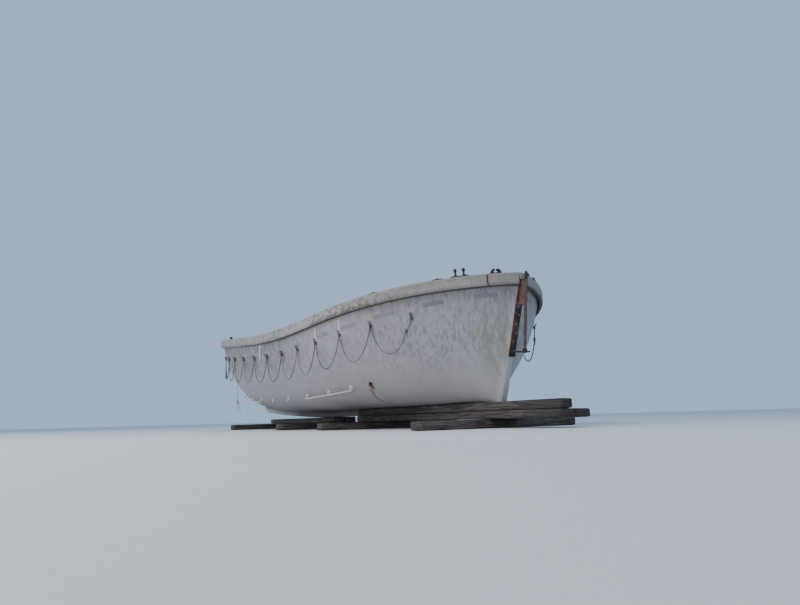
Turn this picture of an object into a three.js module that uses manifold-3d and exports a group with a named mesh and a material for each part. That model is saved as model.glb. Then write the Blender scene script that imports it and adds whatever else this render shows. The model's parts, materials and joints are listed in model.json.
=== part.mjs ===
// A double-ended open lifeboat of glass-reinforced plastic, laid up ashore on a stack of timber baulks.
// Millimetres. +X is starboard, +Y is forward, +Z is up. The origin is on the floor, under the middle of
// the boat. "s" is the distance forward of the stern's rail end, and "t" the height above the keel's foot.
import * as THREE from "three";
import Module from "manifold-3d";

const wasm = await Module();
wasm.setup();

// Driving dimensions of the boat
const LENGTH = 9000;
const RAIL_BEAM = 3290;
const RAIL_PROUD = 50;
const RAIL_DEPTH = 150;
const RAIL_INBOARD = 90;
const RAIL_CAP = 25;
const SHELL = 20;
const GAP = 0.3;
const CENTRE_GAP = 0.15;
const LINER_GAP = 0.8;

// The sheer, as the rail's height above the keel's foot: lowest aft of the middle, highest at the bow
const SHEER_LOW = { s: 3170, t: 1240 };
const SHEER_AFT = { slope: 0.1285, round: 1200 };
const SHEER_FORWARD = { slope: 0.129, round: 2000 };

// The backbone: a straight keel that rises a little towards the forefoot, a raked sternpost and a curved stem
const BACKBONE_WIDTH = 90;
const KEEL_DEPTH = 100;
const KEEL_RISE = { from: 5000, to: 8000, height: 140, power: 1.6 };
const POST_FOOT = 429;
const POST_RAKE = 0.329;
const POST_CURVE = 0.0166e-3;
const POST_DEPTH = 45;
const STEM_DEPTH = 65;
const STEM_REACH = 891;
const STEM_POWER = 0.51;
const STEM_HEIGHT = 1560;

// Plan and section shape, the ends of which differ
const PLAN_AFT = { power: 4.63, root: 0.82 };
const PLAN_FORWARD = { power: 2.3, root: 0.48 };
const SECTION_AFT = { power: 2.02, root: 0.69 };
const SECTION_FORWARD = { power: 0.86, root: 0.49 };
const SECTION_MIDSHIP = { power: 2.29, root: 0.3 };
const SECTION_BLEND = 2.1;

// The stack of timber under the boat
const BEARER = { width: 180, height: 100, length: 2300 };
const LOWER_BAULK = { width: 200, height: 89.4 };
const KEEL_FOOT = BEARER.height + GAP + LOWER_BAULK.height + GAP;

const STATIONS = 30;
const SIDE_ROWS = [0, 0.02, 0.05, 0.1, 0.17, 0.26, 0.37, 0.5, 0.65, 0.82, 1];

const COLOURS = {
  gelcoat: { color: 0xa3a5a4, roughness: 0.6, metalness: 0 },
  rail: { color: 0xb9b5aa, roughness: 0.65, metalness: 0 },
  rustySteel: { color: 0x6a4430, roughness: 0.85, metalness: 0.3 },
  blackSteel: { color: 0x2b2a2b, roughness: 0.6, metalness: 0.4 },
  whitePaint: { color: 0xc9c8c3, roughness: 0.6, metalness: 0 },
  oldWood: { color: 0x5f5048, roughness: 0.95, metalness: 0 },
  bench: { color: 0xb4b09f, roughness: 0.7, metalness: 0 },
  rope: { color: 0x4d4f52, roughness: 0.95, metalness: 0 },
};

const boat = new THREE.Group();

// Shape of the boat

function yOf(s) {
  return s - LENGTH / 2;
}

function sheerHeight(s) {
  const part = s < SHEER_LOW.s ? SHEER_AFT : SHEER_FORWARD;
  const away = s - SHEER_LOW.s;
  return SHEER_LOW.t + part.slope * (Math.hypot(away, part.round) - part.round);
}

function keelRise(s) {
  const share = THREE.MathUtils.clamp((s - KEEL_RISE.from) / (KEEL_RISE.to - KEEL_RISE.from), 0, 1);
  return KEEL_RISE.height * share ** KEEL_RISE.power;
}

// The aft face of the sternpost, and the line where the shell meets the post
function postAft(t) {
  return POST_FOOT - POST_RAKE * t + POST_CURVE * t * t;
}

function shellAft(t) {
  return postAft(t) + POST_DEPTH;
}

// The line where the shell meets the stem
const STEM_START = KEEL_RISE.height + KEEL_DEPTH;

function shellForward(t) {
  const share = Math.max(0, t - STEM_START) / (STEM_HEIGHT - KEEL_DEPTH);
  return KEEL_RISE.to + STEM_REACH * share ** STEM_POWER;
}

function halfBreadth(share) {
  const plan = share < 0.5 ? PLAN_AFT : PLAN_FORWARD;
  const full = Math.max(0, 1 - Math.abs(1 - 2 * share) ** plan.power);
  return (RAIL_BEAM / 2 - RAIL_PROUD) * full ** plan.root;
}

function sectionShare(share, level) {
  const full = 1 - Math.abs(1 - 2 * share) ** SECTION_BLEND;
  const end = share < 0.5 ? SECTION_AFT : SECTION_FORWARD;
  const power = THREE.MathUtils.lerp(end.power, SECTION_MIDSHIP.power, full);
  const root = THREE.MathUtils.lerp(end.root, SECTION_MIDSHIP.root, full);
  return (1 - (1 - level) ** power) ** root;
}

// The bottom and top of the section at a share of the length
function bottomOf(share) {
  const s = THREE.MathUtils.lerp(shellAft(KEEL_DEPTH), KEEL_RISE.to, share);
  return KEEL_DEPTH + keelRise(s);
}

function topOf(share) {
  return sheerHeight(share * LENGTH);
}

// The outer surface of the shell at a share of the length and a height t
function shellPoint(share, t) {
  const level = THREE.MathUtils.clamp((t - bottomOf(share)) / (topOf(share) - bottomOf(share)), 0, 1);
  const half = BACKBONE_WIDTH / 2;
  const x = half + Math.max(0, halfBreadth(share) - half) * sectionShare(share, level);
  const s = THREE.MathUtils.lerp(shellAft(t), shellForward(t), share);
  return new THREE.Vector3(x, yOf(s), KEEL_FOOT + t);
}

// The same surface found from s and t
function shellSide(s, t) {
  const share = (s - shellAft(t)) / (shellForward(t) - shellAft(t));
  return shellPoint(THREE.MathUtils.clamp(share, 0, 1), t);
}

// Building blocks

function addMesh(name, geometry, look) {
  const mesh = new THREE.Mesh(geometry, new THREE.MeshStandardMaterial(COLOURS[look]));
  mesh.name = name;
  boat.add(mesh);
  return mesh;
}

// A closed body from rows of points and triangles, with equal points joined
function bodyFrom(points, triangles) {
  const seen = new Map();
  const positions = [];
  const index = points.map((p) => {
    const key = [p.x, p.y, p.z].map((value) => Math.round(value * 100)).join(" ");
    if (!seen.has(key)) {
      seen.set(key, seen.size);
      positions.push(p.x, p.y, p.z);
    }
    return seen.get(key);
  });
  const faces = [];
  for (const corner of triangles) {
    const [a, b, c] = corner.map((number) => index[number]);
    if (a !== b && b !== c && a !== c) {
      faces.push(a, b, c);
    }
  }
  const geometry = new THREE.BufferGeometry();
  geometry.setAttribute("position", new THREE.Float32BufferAttribute(positions, 3));
  geometry.setIndex(faces);
  return geometry;
}

// A closed body through rings of points; each end is closed by the triangles of caps
function loft(rings, caps) {
  const count = rings[0].length;
  const triangles = [];
  for (let i = 0; i + 1 < rings.length; i++) {
    for (let j = 0; j < count; j++) {
      const a = i * count + j;
      const b = i * count + ((j + 1) % count);
      triangles.push([a, b, b + count], [a, b + count, a + count]);
    }
  }
  const last = (rings.length - 1) * count;
  for (const [a, b, c] of caps) {
    triangles.push([c, b, a], [last + a, last + b, last + c]);
  }
  return bodyFrom(rings.flat(), triangles);
}

// The triangles that close a ring whose two halves mirror each other
function ladder(count) {
  const caps = [];
  for (let j = 0; j < count / 2 - 1; j++) {
    caps.push([j, j + 1, count - 2 - j], [j, count - 2 - j, count - 1 - j]);
  }
  return caps;
}

// The triangles that close a ring of any outline, turned the way that the ring runs
function capsOf(outline) {
  const caps = THREE.ShapeUtils.triangulateShape(outline, []);
  const area = (points) => THREE.ShapeUtils.area(points);
  const same = area(outline) * area(caps[0].map((number) => outline[number])) > 0;
  return same ? caps : caps.map(([a, b, c]) => [c, b, a]);
}

function solidOf(geometry) {
  const mesh = new wasm.Mesh({
    numProp: 3,
    vertProperties: Float32Array.from(geometry.getAttribute("position").array),
    triVerts: Uint32Array.from(geometry.getIndex().array),
  });
  const solid = new wasm.Manifold(mesh);
  return solid.volume() < 0 ? flipped(geometry) : solid;
}

function flipped(geometry) {
  const index = Array.from(geometry.getIndex().array);
  for (let i = 0; i < index.length; i += 3) {
    [index[i], index[i + 1]] = [index[i + 1], index[i]];
  }
  geometry.setIndex(index);
  return solidOf(geometry);
}

function geometryOf(solid) {
  const mesh = solid.getMesh();
  const geometry = new THREE.BufferGeometry();
  geometry.setAttribute("position", new THREE.BufferAttribute(mesh.vertProperties, 3));
  geometry.setIndex(new THREE.BufferAttribute(mesh.triVerts, 1));
  return geometry;
}

function addSolid(name, solid, look) {
  return addMesh(name, geometryOf(solid), look);
}

// A three.js geometry as a solid, moved by a matrix
function solidFrom(geometry, matrix = new THREE.Matrix4()) {
  const plain = (geometry.index ? geometry.toNonIndexed() : geometry.clone()).applyMatrix4(matrix);
  const at = plain.getAttribute("position");
  const points = [];
  const triangles = [];
  for (let i = 0; i < at.count; i++) {
    points.push(new THREE.Vector3().fromBufferAttribute(at, i));
  }
  for (let i = 0; i < at.count; i += 3) {
    triangles.push([i, i + 1, i + 2]);
  }
  return solidOf(bodyFrom(points, triangles));
}

function place(x, y, z, turn = 0) {
  return new THREE.Matrix4().makeRotationZ(turn).setPosition(x, y, z);
}

function box(width, long, high, matrix) {
  return solidFrom(new THREE.BoxGeometry(width, long, high), matrix);
}

function boxBetween(low, high) {
  const size = high.map((value, k) => value - low[k]);
  const middle = high.map((value, k) => (value + low[k]) / 2);
  return box(...size, place(...middle));
}

function upright(radius, high, matrix, sides = 16) {
  return solidFrom(new THREE.CylinderGeometry(radius, radius, high, sides).rotateX(Math.PI / 2), matrix);
}

// A plate whose outline is drawn from s and t, as thick across the boat as width
function profilePlate(outline, width) {
  const shape = new THREE.Shape(outline.map(([s, t]) => new THREE.Vector2(yOf(s), KEEL_FOOT + t)));
  const geometry = new THREE.ExtrudeGeometry(shape, { depth: width, bevelEnabled: false });
  geometry.translate(0, 0, -width / 2);
  const turn = new THREE.Matrix4().makeBasis(
    new THREE.Vector3(0, 1, 0),
    new THREE.Vector3(0, 0, 1),
    new THREE.Vector3(1, 0, 0),
  );
  return solidFrom(geometry, turn);
}

function mirrored(solid) {
  return solid.mirror([1, 0, 0]);
}

// A path that turns at each of its points
class Route extends THREE.Curve {
  constructor(points) {
    super();
    this.points = points;
  }

  getPoint(share) {
    const place = share * (this.points.length - 1);
    const from = Math.min(Math.floor(place + 1e-9), this.points.length - 2);
    return this.points[from].clone().lerp(this.points[from + 1], place - from);
  }

  getPointAt(share) {
    return this.getPoint(share);
  }

  getTangentAt(share) {
    const number = Math.round(share * (this.points.length - 1));
    const before = this.points[Math.max(number - 1, 0)];
    const after = this.points[Math.min(number + 1, this.points.length - 1)];
    return after.clone().sub(before).normalize();
  }
}

// A round bar through points
function bar(points, radius, sides) {
  const corners = Array.from({ length: sides }, (_, k) => {
    const angle = (2 * Math.PI * k) / sides;
    return new THREE.Vector2(radius * Math.cos(angle), radius * Math.sin(angle));
  });
  return new THREE.ExtrudeGeometry(new THREE.Shape(corners), {
    steps: points.length - 1,
    extrudePath: new Route(points),
    bevelEnabled: false,
  });
}

// The shell: two mouldings that meet on the centre plane

const shares = Array.from({ length: STATIONS + 1 }, (_, i) => (1 - Math.cos((Math.PI * i) / STATIONS)) / 2);

function heightsAt(share) {
  const low = bottomOf(share);
  const rail = topOf(share) - RAIL_DEPTH;
  const rows = SIDE_ROWS.map((level) => THREE.MathUtils.lerp(low, rail, level));
  return [...rows, topOf(share) - RAIL_CAP];
}

// Columns of points on the outside of the starboard half, with a strip to the centre plane at each edge
const outside = shares.map((share) => {
  const column = heightsAt(share).map((t) => shellPoint(share, t));
  const centre = column[0].clone().setX(CENTRE_GAP);
  return [centre, ...column];
});
outside.unshift(outside[0].map((p) => p.clone().setX(CENTRE_GAP)));
outside.push(outside.at(-1).map((p) => p.clone().setX(CENTRE_GAP)));

function outwardAt(i, j) {
  const last = outside.length - 1;
  const top = outside[0].length - 1;
  const along = outside[Math.min(i + 1, last)][j].clone().sub(outside[Math.max(i - 1, 0)][j]);
  const up = outside[i][Math.min(j + 1, top)].clone().sub(outside[i][Math.max(j - 1, 0)]);
  const atEnd = i === 0 || i === last;
  if (j === 0 || (j === 1 && atEnd)) return new THREE.Vector3(0, 0, -1);
  if (atEnd) return new THREE.Vector3(0, i === 0 ? -1 : 1, 0);
  return along.cross(up).normalize();
}

function insideAt(i, j, depth) {
  const p = outside[i][j].clone().addScaledVector(outwardAt(i, j), -depth);
  if (i === 0 || i === outside.length - 1 || j === 0) p.x = CENTRE_GAP;
  if (j === outside[0].length - 1) p.z = outside[i][j].z;
  return p;
}

const inside = outside.map((column, i) => column.map((p, j) => insideAt(i, j, SHELL)));

function shellHalf() {
  const rows = outside[0].length;
  const rings = outside.map((column, i) => [...column, ...inside[i].slice().reverse()]);
  return solidOf(loft(rings, ladder(2 * rows)));
}

const shell = shellHalf();

// The space inside the shell, half by half so that its facets match the shell's
function spaceInside() {
  const top = outside[0].length - 1;
  const rings = [];
  for (let i = 2; i < outside.length - 2; i++) {
    const side = [];
    for (let j = top; j >= 2; j--) {
      side.push(insideAt(i, j, SHELL + LINER_GAP));
    }
    const lowest = side.at(-1).clone().setX(-CENTRE_GAP);
    const highest = side[0].clone().setX(-CENTRE_GAP);
    rings.push([...side, lowest, highest]);
  }
  const last = rings[0].length - 1;
  const caps = Array.from({ length: last - 1 }, (_, k) => [last, k, k + 1]);
  const half = solidOf(loft(rings, caps));
  return half.add(mirrored(half));
}

const space = spaceInside();

// Rail: a thick moulded belt that caps the shell all round

const RAIL_SECTION = [
  { out: -RAIL_INBOARD, up: GAP },
  { out: -RAIL_INBOARD, up: 20 },
  { out: -RAIL_INBOARD + 8, up: 25 },
  { out: 24, up: 25 },
  { out: 42, up: 12 },
  { out: RAIL_PROUD, up: -20 },
  { out: RAIL_PROUD, up: -88 },
  { out: 38, up: -118 },
];

function planNormal(i) {
  const top = outside[0].length - 1;
  if (i === 0) return new THREE.Vector3(0, -1, 0);
  if (i === outside.length - 1) return new THREE.Vector3(0, 1, 0);
  const along = outside[i + 1][top].clone().sub(outside[i - 1][top]);
  return new THREE.Vector3(along.y, -along.x, 0).normalize();
}

function railHalf() {
  const top = outside[0].length - 1;
  const rings = outside.map((column, i) => {
    const out = planNormal(i);
    const ring = [column[top - 1].clone().addScaledVector(out, GAP)];
    ring.push(column[top].clone().addScaledVector(out, GAP).setZ(column[top].z + GAP));
    for (const corner of RAIL_SECTION) {
      const p = column[top].clone().addScaledVector(out, corner.out);
      p.z += corner.up;
      ring.push(p);
    }
    return ring;
  });
  const corners = RAIL_SECTION.map(({ out, up }) => new THREE.Vector2(out, up));
  const outline = [new THREE.Vector2(0, RAIL_CAP - RAIL_DEPTH), new THREE.Vector2(GAP, GAP), ...corners];
  return solidOf(loft(rings, capsOf(outline)));
}

const rail = railHalf();

// Backbone: sternpost, keel and stem, each fitted to the shell's centre line

const KEEL_AFT = 530;
const KEEL_FORWARD = 7300;

function sternpost() {
  const rows = heightsAt(0).slice(0, -1);
  const inner = rows.map((t) => [shellAft(t) - GAP, t]);
  const outer = rows.map((t) => [postAft(t), t]).reverse();
  inner.at(-1)[1] -= GAP;
  outer[0][1] -= GAP;
  inner[0][1] -= GAP;
  const heel = [[postAft(0), 0], [KEEL_AFT - CENTRE_GAP, 0], [KEEL_AFT - CENTRE_GAP, KEEL_DEPTH - GAP]];
  return profilePlate([...heel, ...inner, ...outer], BACKBONE_WIDTH);
}

function keelLine(from, to) {
  const places = shares.map((share) => THREE.MathUtils.lerp(shellAft(KEEL_DEPTH), KEEL_RISE.to, share));
  return [from, ...places.filter((s) => s > from + 1 && s < to - 1), to];
}

// The shell's lowest line as its stations draw it
function shellFoot(s) {
  const places = shares.map((share) => THREE.MathUtils.lerp(shellAft(KEEL_DEPTH), KEEL_RISE.to, share));
  const next = Math.max(1, places.findIndex((place) => place >= s));
  const share = (s - places[next - 1]) / (places[next] - places[next - 1]);
  return THREE.MathUtils.lerp(bottomOf(shares[next - 1]), bottomOf(shares[next]), share);
}

function keel() {
  const line = keelLine(KEEL_AFT + CENTRE_GAP, KEEL_FORWARD - CENTRE_GAP);
  const below = line.map((s) => [s, shellFoot(s) - KEEL_DEPTH]);
  const above = line.map((s) => [s, shellFoot(s) - GAP]).reverse();
  return profilePlate([...below, ...above], BACKBONE_WIDTH);
}

function stemForward(t) {
  const share = Math.max(0, t - KEEL_RISE.height) / STEM_HEIGHT;
  return KEEL_RISE.to + (STEM_REACH + STEM_DEPTH) * share ** STEM_POWER;
}

function stem() {
  const foot = keelLine(KEEL_FORWARD + CENTRE_GAP, KEEL_RISE.to);
  const below = foot.map((s) => [s, shellFoot(s) - KEEL_DEPTH]);
  const above = foot.map((s) => [s, shellFoot(s) - GAP]).reverse();
  const rows = heightsAt(1).slice(0, -1);
  const inner = rows.map((t) => [shellForward(t) + GAP, t]).reverse();
  inner[0][1] -= GAP;
  inner.at(-1)[1] -= GAP;
  const top = rows.at(-1) - GAP;
  const outer = [0.01, 0.04, 0.1, 0.2, 0.35, 0.55, 0.78, 1].map((part) => {
    const t = THREE.MathUtils.lerp(KEEL_RISE.height, top, part);
    return [stemForward(t), t];
  });
  return profilePlate([...below, ...outer, ...inner, ...above.slice(1)], BACKBONE_WIDTH);
}

addSolid("sternpost", sternpost(), "gelcoat");
addSolid("keel", keel(), "gelcoat");
addSolid("stem", stem(), "gelcoat");

// Rudder hangings: the facing on the post, and the rod on its two brackets. The rudder itself is missing

const FACING = { from: 600, to: 1440, thick: 22, width: 84 };
const ROD = { radius: 17, foot: { s: 14, t: 612 }, head: { s: -82, t: 1424 } };
const ROD_CAP = { radius: 21, to: 1517 };
const UPPER_BRACKET = { from: 1152, to: 1420, width: 40 };
const LOWER_BRACKET = { t: 638, thick: 16, width: 50, to: -55, fall: 25 };

function facingFace(t) {
  return postAft(t) - FACING.thick;
}

function between(from, to, count) {
  return Array.from({ length: count + 1 }, (_, k) => THREE.MathUtils.lerp(from, to, k / count));
}

// The rod leans aft as it rises
function rodLine(t) {
  return THREE.MathUtils.mapLinear(t, ROD.foot.t, ROD.head.t, ROD.foot.s, ROD.head.s);
}

function rodPoint(t) {
  return new THREE.Vector3(0, yOf(rodLine(t)), KEEL_FOOT + t);
}

// A straight round bar between two points
function rod(from, to, radius, sides = 10) {
  const along = to.clone().sub(from);
  const turn = new THREE.Quaternion().setFromUnitVectors(new THREE.Vector3(0, 0, 1), along.clone().normalize());
  const matrix = new THREE.Matrix4().compose(
    from.clone().add(to).multiplyScalar(0.5),
    turn,
    new THREE.Vector3(1, 1, 1),
  );
  return upright(radius, along.length(), matrix, sides);
}

const facingRows = heightsAt(0).filter((t) => t > FACING.from && t < FACING.to - RAIL_CAP);
const facingLine = [FACING.from, ...facingRows, FACING.to];
const facingOutline = [
  ...facingLine.map((t) => [postAft(t) - GAP, t]),
  ...facingLine.map((t) => [facingFace(t), t]).reverse(),
];
addSolid("sternpost_facing", profilePlate(facingOutline, FACING.width), "rustySteel");

// The rail's stern end is cut back for the facing
const RECESS = { aft: -200, top: FACING.to + GAP };
const recessOutline = [
  ...facingLine.map((t) => [postAft(t), t]),
  [postAft(FACING.to), RECESS.top],
  [RECESS.aft, RECESS.top],
  [RECESS.aft, FACING.from],
];
addPair("rail", rail.subtract(profilePlate(recessOutline, FACING.width + 2 * GAP)), "rail");

const bracketRows = facingLine.filter((t) => t > UPPER_BRACKET.from && t < UPPER_BRACKET.to);
const bracketLine = [UPPER_BRACKET.from, ...bracketRows, UPPER_BRACKET.to];
const rodSide = ROD.radius + 2 * GAP;
const bracketOutline = [
  ...bracketLine.map((t) => [facingFace(t) - GAP, t]),
  [rodLine(UPPER_BRACKET.to) + rodSide, UPPER_BRACKET.to],
  [rodLine(UPPER_BRACKET.from) + rodSide, UPPER_BRACKET.from],
];
addSolid("rod_upper_bracket", profilePlate(bracketOutline, UPPER_BRACKET.width), "rustySteel");

function rodPiece(radius, from, to) {
  return rod(rodPoint(from), rodPoint(to), radius, 16);
}

addSolid("rudder_rod", rodPiece(ROD.radius, ROD.foot.t, ROD.head.t), "rustySteel");
addSolid("rod_cap", rodPiece(ROD_CAP.radius, ROD.head.t + GAP, ROD_CAP.to), "blackSteel");

// The lower bracket droops aft
const lowerFoot = LOWER_BRACKET.t;
const lowerTop = LOWER_BRACKET.t + LOWER_BRACKET.thick;
const lowerBar = profilePlate(
  [
    [facingFace(lowerFoot) - GAP, lowerFoot],
    [facingFace(lowerTop) - GAP, lowerTop],
    [LOWER_BRACKET.to, lowerTop - LOWER_BRACKET.fall],
    [LOWER_BRACKET.to, lowerFoot - LOWER_BRACKET.fall],
  ],
  LOWER_BRACKET.width,
);
const rodHole = rodPiece(ROD.radius + GAP, ROD.foot.t, ROD.head.t);
addSolid("rod_lower_bracket", lowerBar.subtract(rodHole), "blackSteel");

// Fittings on the rail

const BITTS = { aft: 330, forward: 8400, base: [90, 205, 12], apart: 94 };
const KNOB = [[0, -6], [22, -6], [20, 10], [11, 30], [10, 47], [16, 57], [19, 70], [16, 85], [8, 94], [0, 96]];
const CHOCK_OUTLINE = [
  [-66, -12], [66, -12], [66, 14], [44, 56], [14, 62], [8, 52], [10, 41], [27, 35], [27, 15],
  [-27, 15], [-27, 35], [-10, 41], [-8, 52], [-14, 62], [-44, 52], [-66, 14],
];
const CHOCK = { width: 46, aft: 105, forward: 8850 };
const ROWLOCK_PLATE = { size: [70, 130, 12], places: [500, 1150] };
const SUNK = 12;

// The middle of the rail's top at s, with the turn that lines a fitting up with the rail and its slope
function onRail(s) {
  const share = s / LENGTH;
  const step = 0.002;
  const a = shellPoint(share - step, topOf(share - step));
  const b = shellPoint(share + step, topOf(share + step));
  const p = shellPoint(share, topOf(share));
  const along = b.sub(a).normalize();
  const out = new THREE.Vector3(along.y, -along.x, 0).normalize();
  const up = out.clone().cross(along).normalize();
  const middle = p.addScaledVector(out, (24 - RAIL_INBOARD) / 2);
  return new THREE.Matrix4().makeBasis(out, along, up).setPosition(middle);
}

function seated(solid) {
  return solid.subtract(rail.translate([0, 0, GAP]));
}

function bitts(s) {
  const [width, long, high] = BITTS.base;
  const seat = onRail(s);
  let solid = box(width, long, high + SUNK, seat.clone().multiply(place(0, 0, (high - SUNK) / 2)));
  for (const side of [-1, 1]) {
    const profile = KNOB.map(([r, z]) => new THREE.Vector2(r, z));
    const knob = new THREE.LatheGeometry(profile, 14).rotateX(Math.PI / 2);
    solid = solid.add(solidFrom(knob, seat.clone().multiply(place(0, (side * BITTS.apart) / 2, high))));
  }
  return seated(solid);
}

function chock(s) {
  const shape = new THREE.Shape(CHOCK_OUTLINE.map(([along, up]) => new THREE.Vector2(along, up)));
  const plate = new THREE.ExtrudeGeometry(shape, { depth: CHOCK.width, bevelEnabled: false });
  plate.translate(0, 0, -CHOCK.width / 2);
  const turn = new THREE.Matrix4().makeBasis(
    new THREE.Vector3(0, 1, 0),
    new THREE.Vector3(0, 0, 1),
    new THREE.Vector3(1, 0, 0),
  );
  return seated(solidFrom(plate, onRail(s).multiply(turn)));
}

function rowlockPlate(s) {
  const [width, long, high] = ROWLOCK_PLATE.size;
  return seated(box(width, long, high + SUNK, onRail(s).multiply(place(0, 0, (high - SUNK) / 2))));
}

function addPair(name, solid, look) {
  addSolid(`${name}_starboard`, solid, look);
  addSolid(`${name}_port`, mirrored(solid), look);
}

addPair("stern_bitts", bitts(BITTS.aft), "rustySteel");
addPair("bow_bitts", bitts(BITTS.forward), "rustySteel");
addPair("stern_chock", chock(CHOCK.aft), "rustySteel");
addPair("bow_chock", chock(CHOCK.forward), "rustySteel");
addPair("rowlock_plate_aft", rowlockPlate(ROWLOCK_PLATE.places[0]), "rustySteel");
addPair("rowlock_plate_forward", rowlockPlate(ROWLOCK_PLATE.places[1]), "rustySteel");

// Lifeline lugs on the shell, and the line that hangs from them

const LUG = { width: 24, height: 60, proud: 32, sunk: 12, below: 365 };
const LUGS = {
  starboard: [820, 1500, 2020, 2560, 3120, 3700, 4300, 4900, 5500, 6100, 6700, 7300, 7900],
  port: [820, 1270, 1740, 2235, 2730, 3260, 3840, 4430, 5010, 5600, 6190, 6780, 7360, 7900],
};
const LINE = { radius: 8, sides: 8, sag: 365, steep: 1.9, clear: 12 };
const FIRST_HOLD = { s: 870, drop: 140, straight: 25, sag: 285 };
const LINE_PARTS = [0, 0.07, 0.27, 0.5, 0.73, 0.93];

// Where the line hangs under the lug at s, with the way along the shell and the way out of it
function lugSeat(s) {
  const t = sheerHeight(s) - LUG.below;
  const p = shellSide(s, t);
  const along = shellSide(s + 20, t).sub(shellSide(s - 20, t)).setZ(0).normalize();
  const out = new THREE.Vector3(along.y, -along.x, 0);
  return { p, along, out };
}

function lug(s) {
  const { p, along, out } = lugSeat(s);
  const turn = new THREE.Matrix4().makeBasis(out, along, new THREE.Vector3(0, 0, 1)).setPosition(p);
  const middle = place((LUG.proud - LUG.sunk) / 2, 0, LINE.radius + GAP + LUG.height / 2);
  return box(LUG.proud + LUG.sunk, LUG.width, LUG.height, turn.multiply(middle));
}

// How far down a bight has come at a part of its width: a catenary, 0 at its ends and 1 in its middle
function hang(part) {
  const end = Math.cosh(LINE.steep);
  return (end - Math.cosh(LINE.steep * (2 * part - 1))) / (end - 1);
}

function underLug(s) {
  const { p, out } = lugSeat(s);
  return p.addScaledVector(out, LINE.radius + LINE.clear);
}

// The top of a rope that hangs straight down from a lug's foot
function lugFoot(s) {
  const p = underLug(s);
  return p.setZ(p.z + LINE.radius);
}

// The route of a line on the starboard side: it falls from lug to lug, clear of the shell. Its aft end hangs
// on a long strop, and its first bight is shallower
function lineRoute(places) {
  const held = places.map(underLug);
  const top = lugFoot(places[0]);
  const route = [top, top.clone().setZ(top.z - FIRST_HOLD.straight)];
  held[0] = underLug(FIRST_HOLD.s);
  held[0].z -= FIRST_HOLD.drop;
  for (let k = 0; k + 1 < held.length; k++) {
    const sag = k > 0 ? LINE.sag : FIRST_HOLD.sag;
    for (const part of LINE_PARTS) {
      const p = held[k].clone().lerp(held[k + 1], part);
      p.z -= sag * hang(part);
      const shellAt = shellSide(p.y + LENGTH / 2, p.z - KEEL_FOOT);
      if (part > 0) p.x = Math.max(p.x, shellAt.x + LINE.radius + LINE.clear);
      route.push(p);
    }
  }
  route.push(held.at(-1));
  return route;
}

// A short painter hangs from a lug of its own on the port bow
const PAINTER = { s: 8460, foot: 200, sway: 14, turns: 1.3, points: 18 };

function painterRoute() {
  const head = lugFoot(PAINTER.s);
  const fall = head.z - KEEL_FOOT - PAINTER.foot;
  return between(0, 1, PAINTER.points).map((part) => {
    const free = Math.max(0, part - 1 / PAINTER.points);
    const sway = PAINTER.sway * Math.sin(Math.PI * PAINTER.turns * free);
    return new THREE.Vector3(head.x + sway, head.y, head.z - fall * part);
  });
}

function withLugs(places) {
  return places.reduce((whole, s) => whole.add(lug(s)), shell);
}

function lifeline(places) {
  return solidFrom(bar(lineRoute(places), LINE.radius, LINE.sides));
}

addSolid("hull_starboard", withLugs(LUGS.starboard), "gelcoat");
addSolid("hull_port", mirrored(withLugs([...LUGS.port, PAINTER.s])), "gelcoat");
addSolid("lifeline_starboard", lifeline(LUGS.starboard), "rope");
addSolid("lifeline_port", mirrored(lifeline(LUGS.port)), "rope");
addSolid("bow_painter", mirrored(solidFrom(bar(painterRoute(), LINE.radius, LINE.sides))), "rope");

// Grab rails under the bilges, whole to starboard and broken up to port

const GRAB = { radius: 10, post: 9, off: 62, low: { s: 3900, t: 300 }, bend: 0.018e-3 };

function shellNormal(s, t) {
  const along = shellSide(s + 20, t).sub(shellSide(s - 20, t));
  const up = shellSide(s, t + 15).sub(shellSide(s, t - 15));
  return along.cross(up).normalize();
}

// Where the grab rail's line meets the shell: it rises a little towards both ends
function grabSeat(s) {
  const t = GRAB.low.t + GRAB.bend * (s - GRAB.low.s) ** 2;
  return { p: shellSide(s, t), out: shellNormal(s, t) };
}

function grabPoint(s) {
  const { p, out } = grabSeat(s);
  return p.addScaledVector(out, GRAB.off);
}

function clearOfShell(solid, out) {
  return solid.subtract(shell.translate(out.clone().multiplyScalar(GAP).toArray()));
}

function grabPost(s, long) {
  const { p, out } = grabSeat(s);
  const foot = p.clone().addScaledVector(out, -6);
  const head = p.clone().addScaledVector(out, long);
  return clearOfShell(rod(foot, head, GRAB.post), out);
}

// A length of grab rail on its posts
function grabRail({ posts, from, to }) {
  const line = between(from, to, posts.length * 3).map(grabPoint);
  const length = solidFrom(bar(line, GRAB.radius, 10));
  return posts.reduce((whole, s) => whole.add(grabPost(s, GRAB.off)), length);
}

const STARBOARD_RAILS = {
  aft: { posts: [2100, 2800, 3500], from: 2060, to: 3842 },
  middle: { posts: [4200, 4900], from: 3858, to: 5267 },
  forward: { posts: [5650, 6400, 7150], from: 5283, to: 7230 },
};
for (const [part, rail] of Object.entries(STARBOARD_RAILS)) {
  addSolid(`grab_rail_starboard_${part}`, grabRail(rail), "whitePaint");
}
const PORT_RAILS = {
  aft: { posts: [2100, 2620, 3260], from: 2060, to: 3290 },
  forward: { posts: [5260, 5930, 6560, 7200], from: 5225, to: 7250 },
};
for (const [part, rail] of Object.entries(PORT_RAILS)) {
  addSolid(`grab_rail_port_${part}`, mirrored(grabRail(rail)), "whitePaint");
}
const STUBS = { torn: 1740, aft: 3960, forward: 4610 };
const TORN_STUB_LONG = 46;
addSolid("grab_stub_port_torn", mirrored(grabPost(STUBS.torn, TORN_STUB_LONG)), "rustySteel");
addSolid("grab_stub_port_aft", mirrored(grabPost(STUBS.aft, GRAB.off)), "whitePaint");
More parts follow.
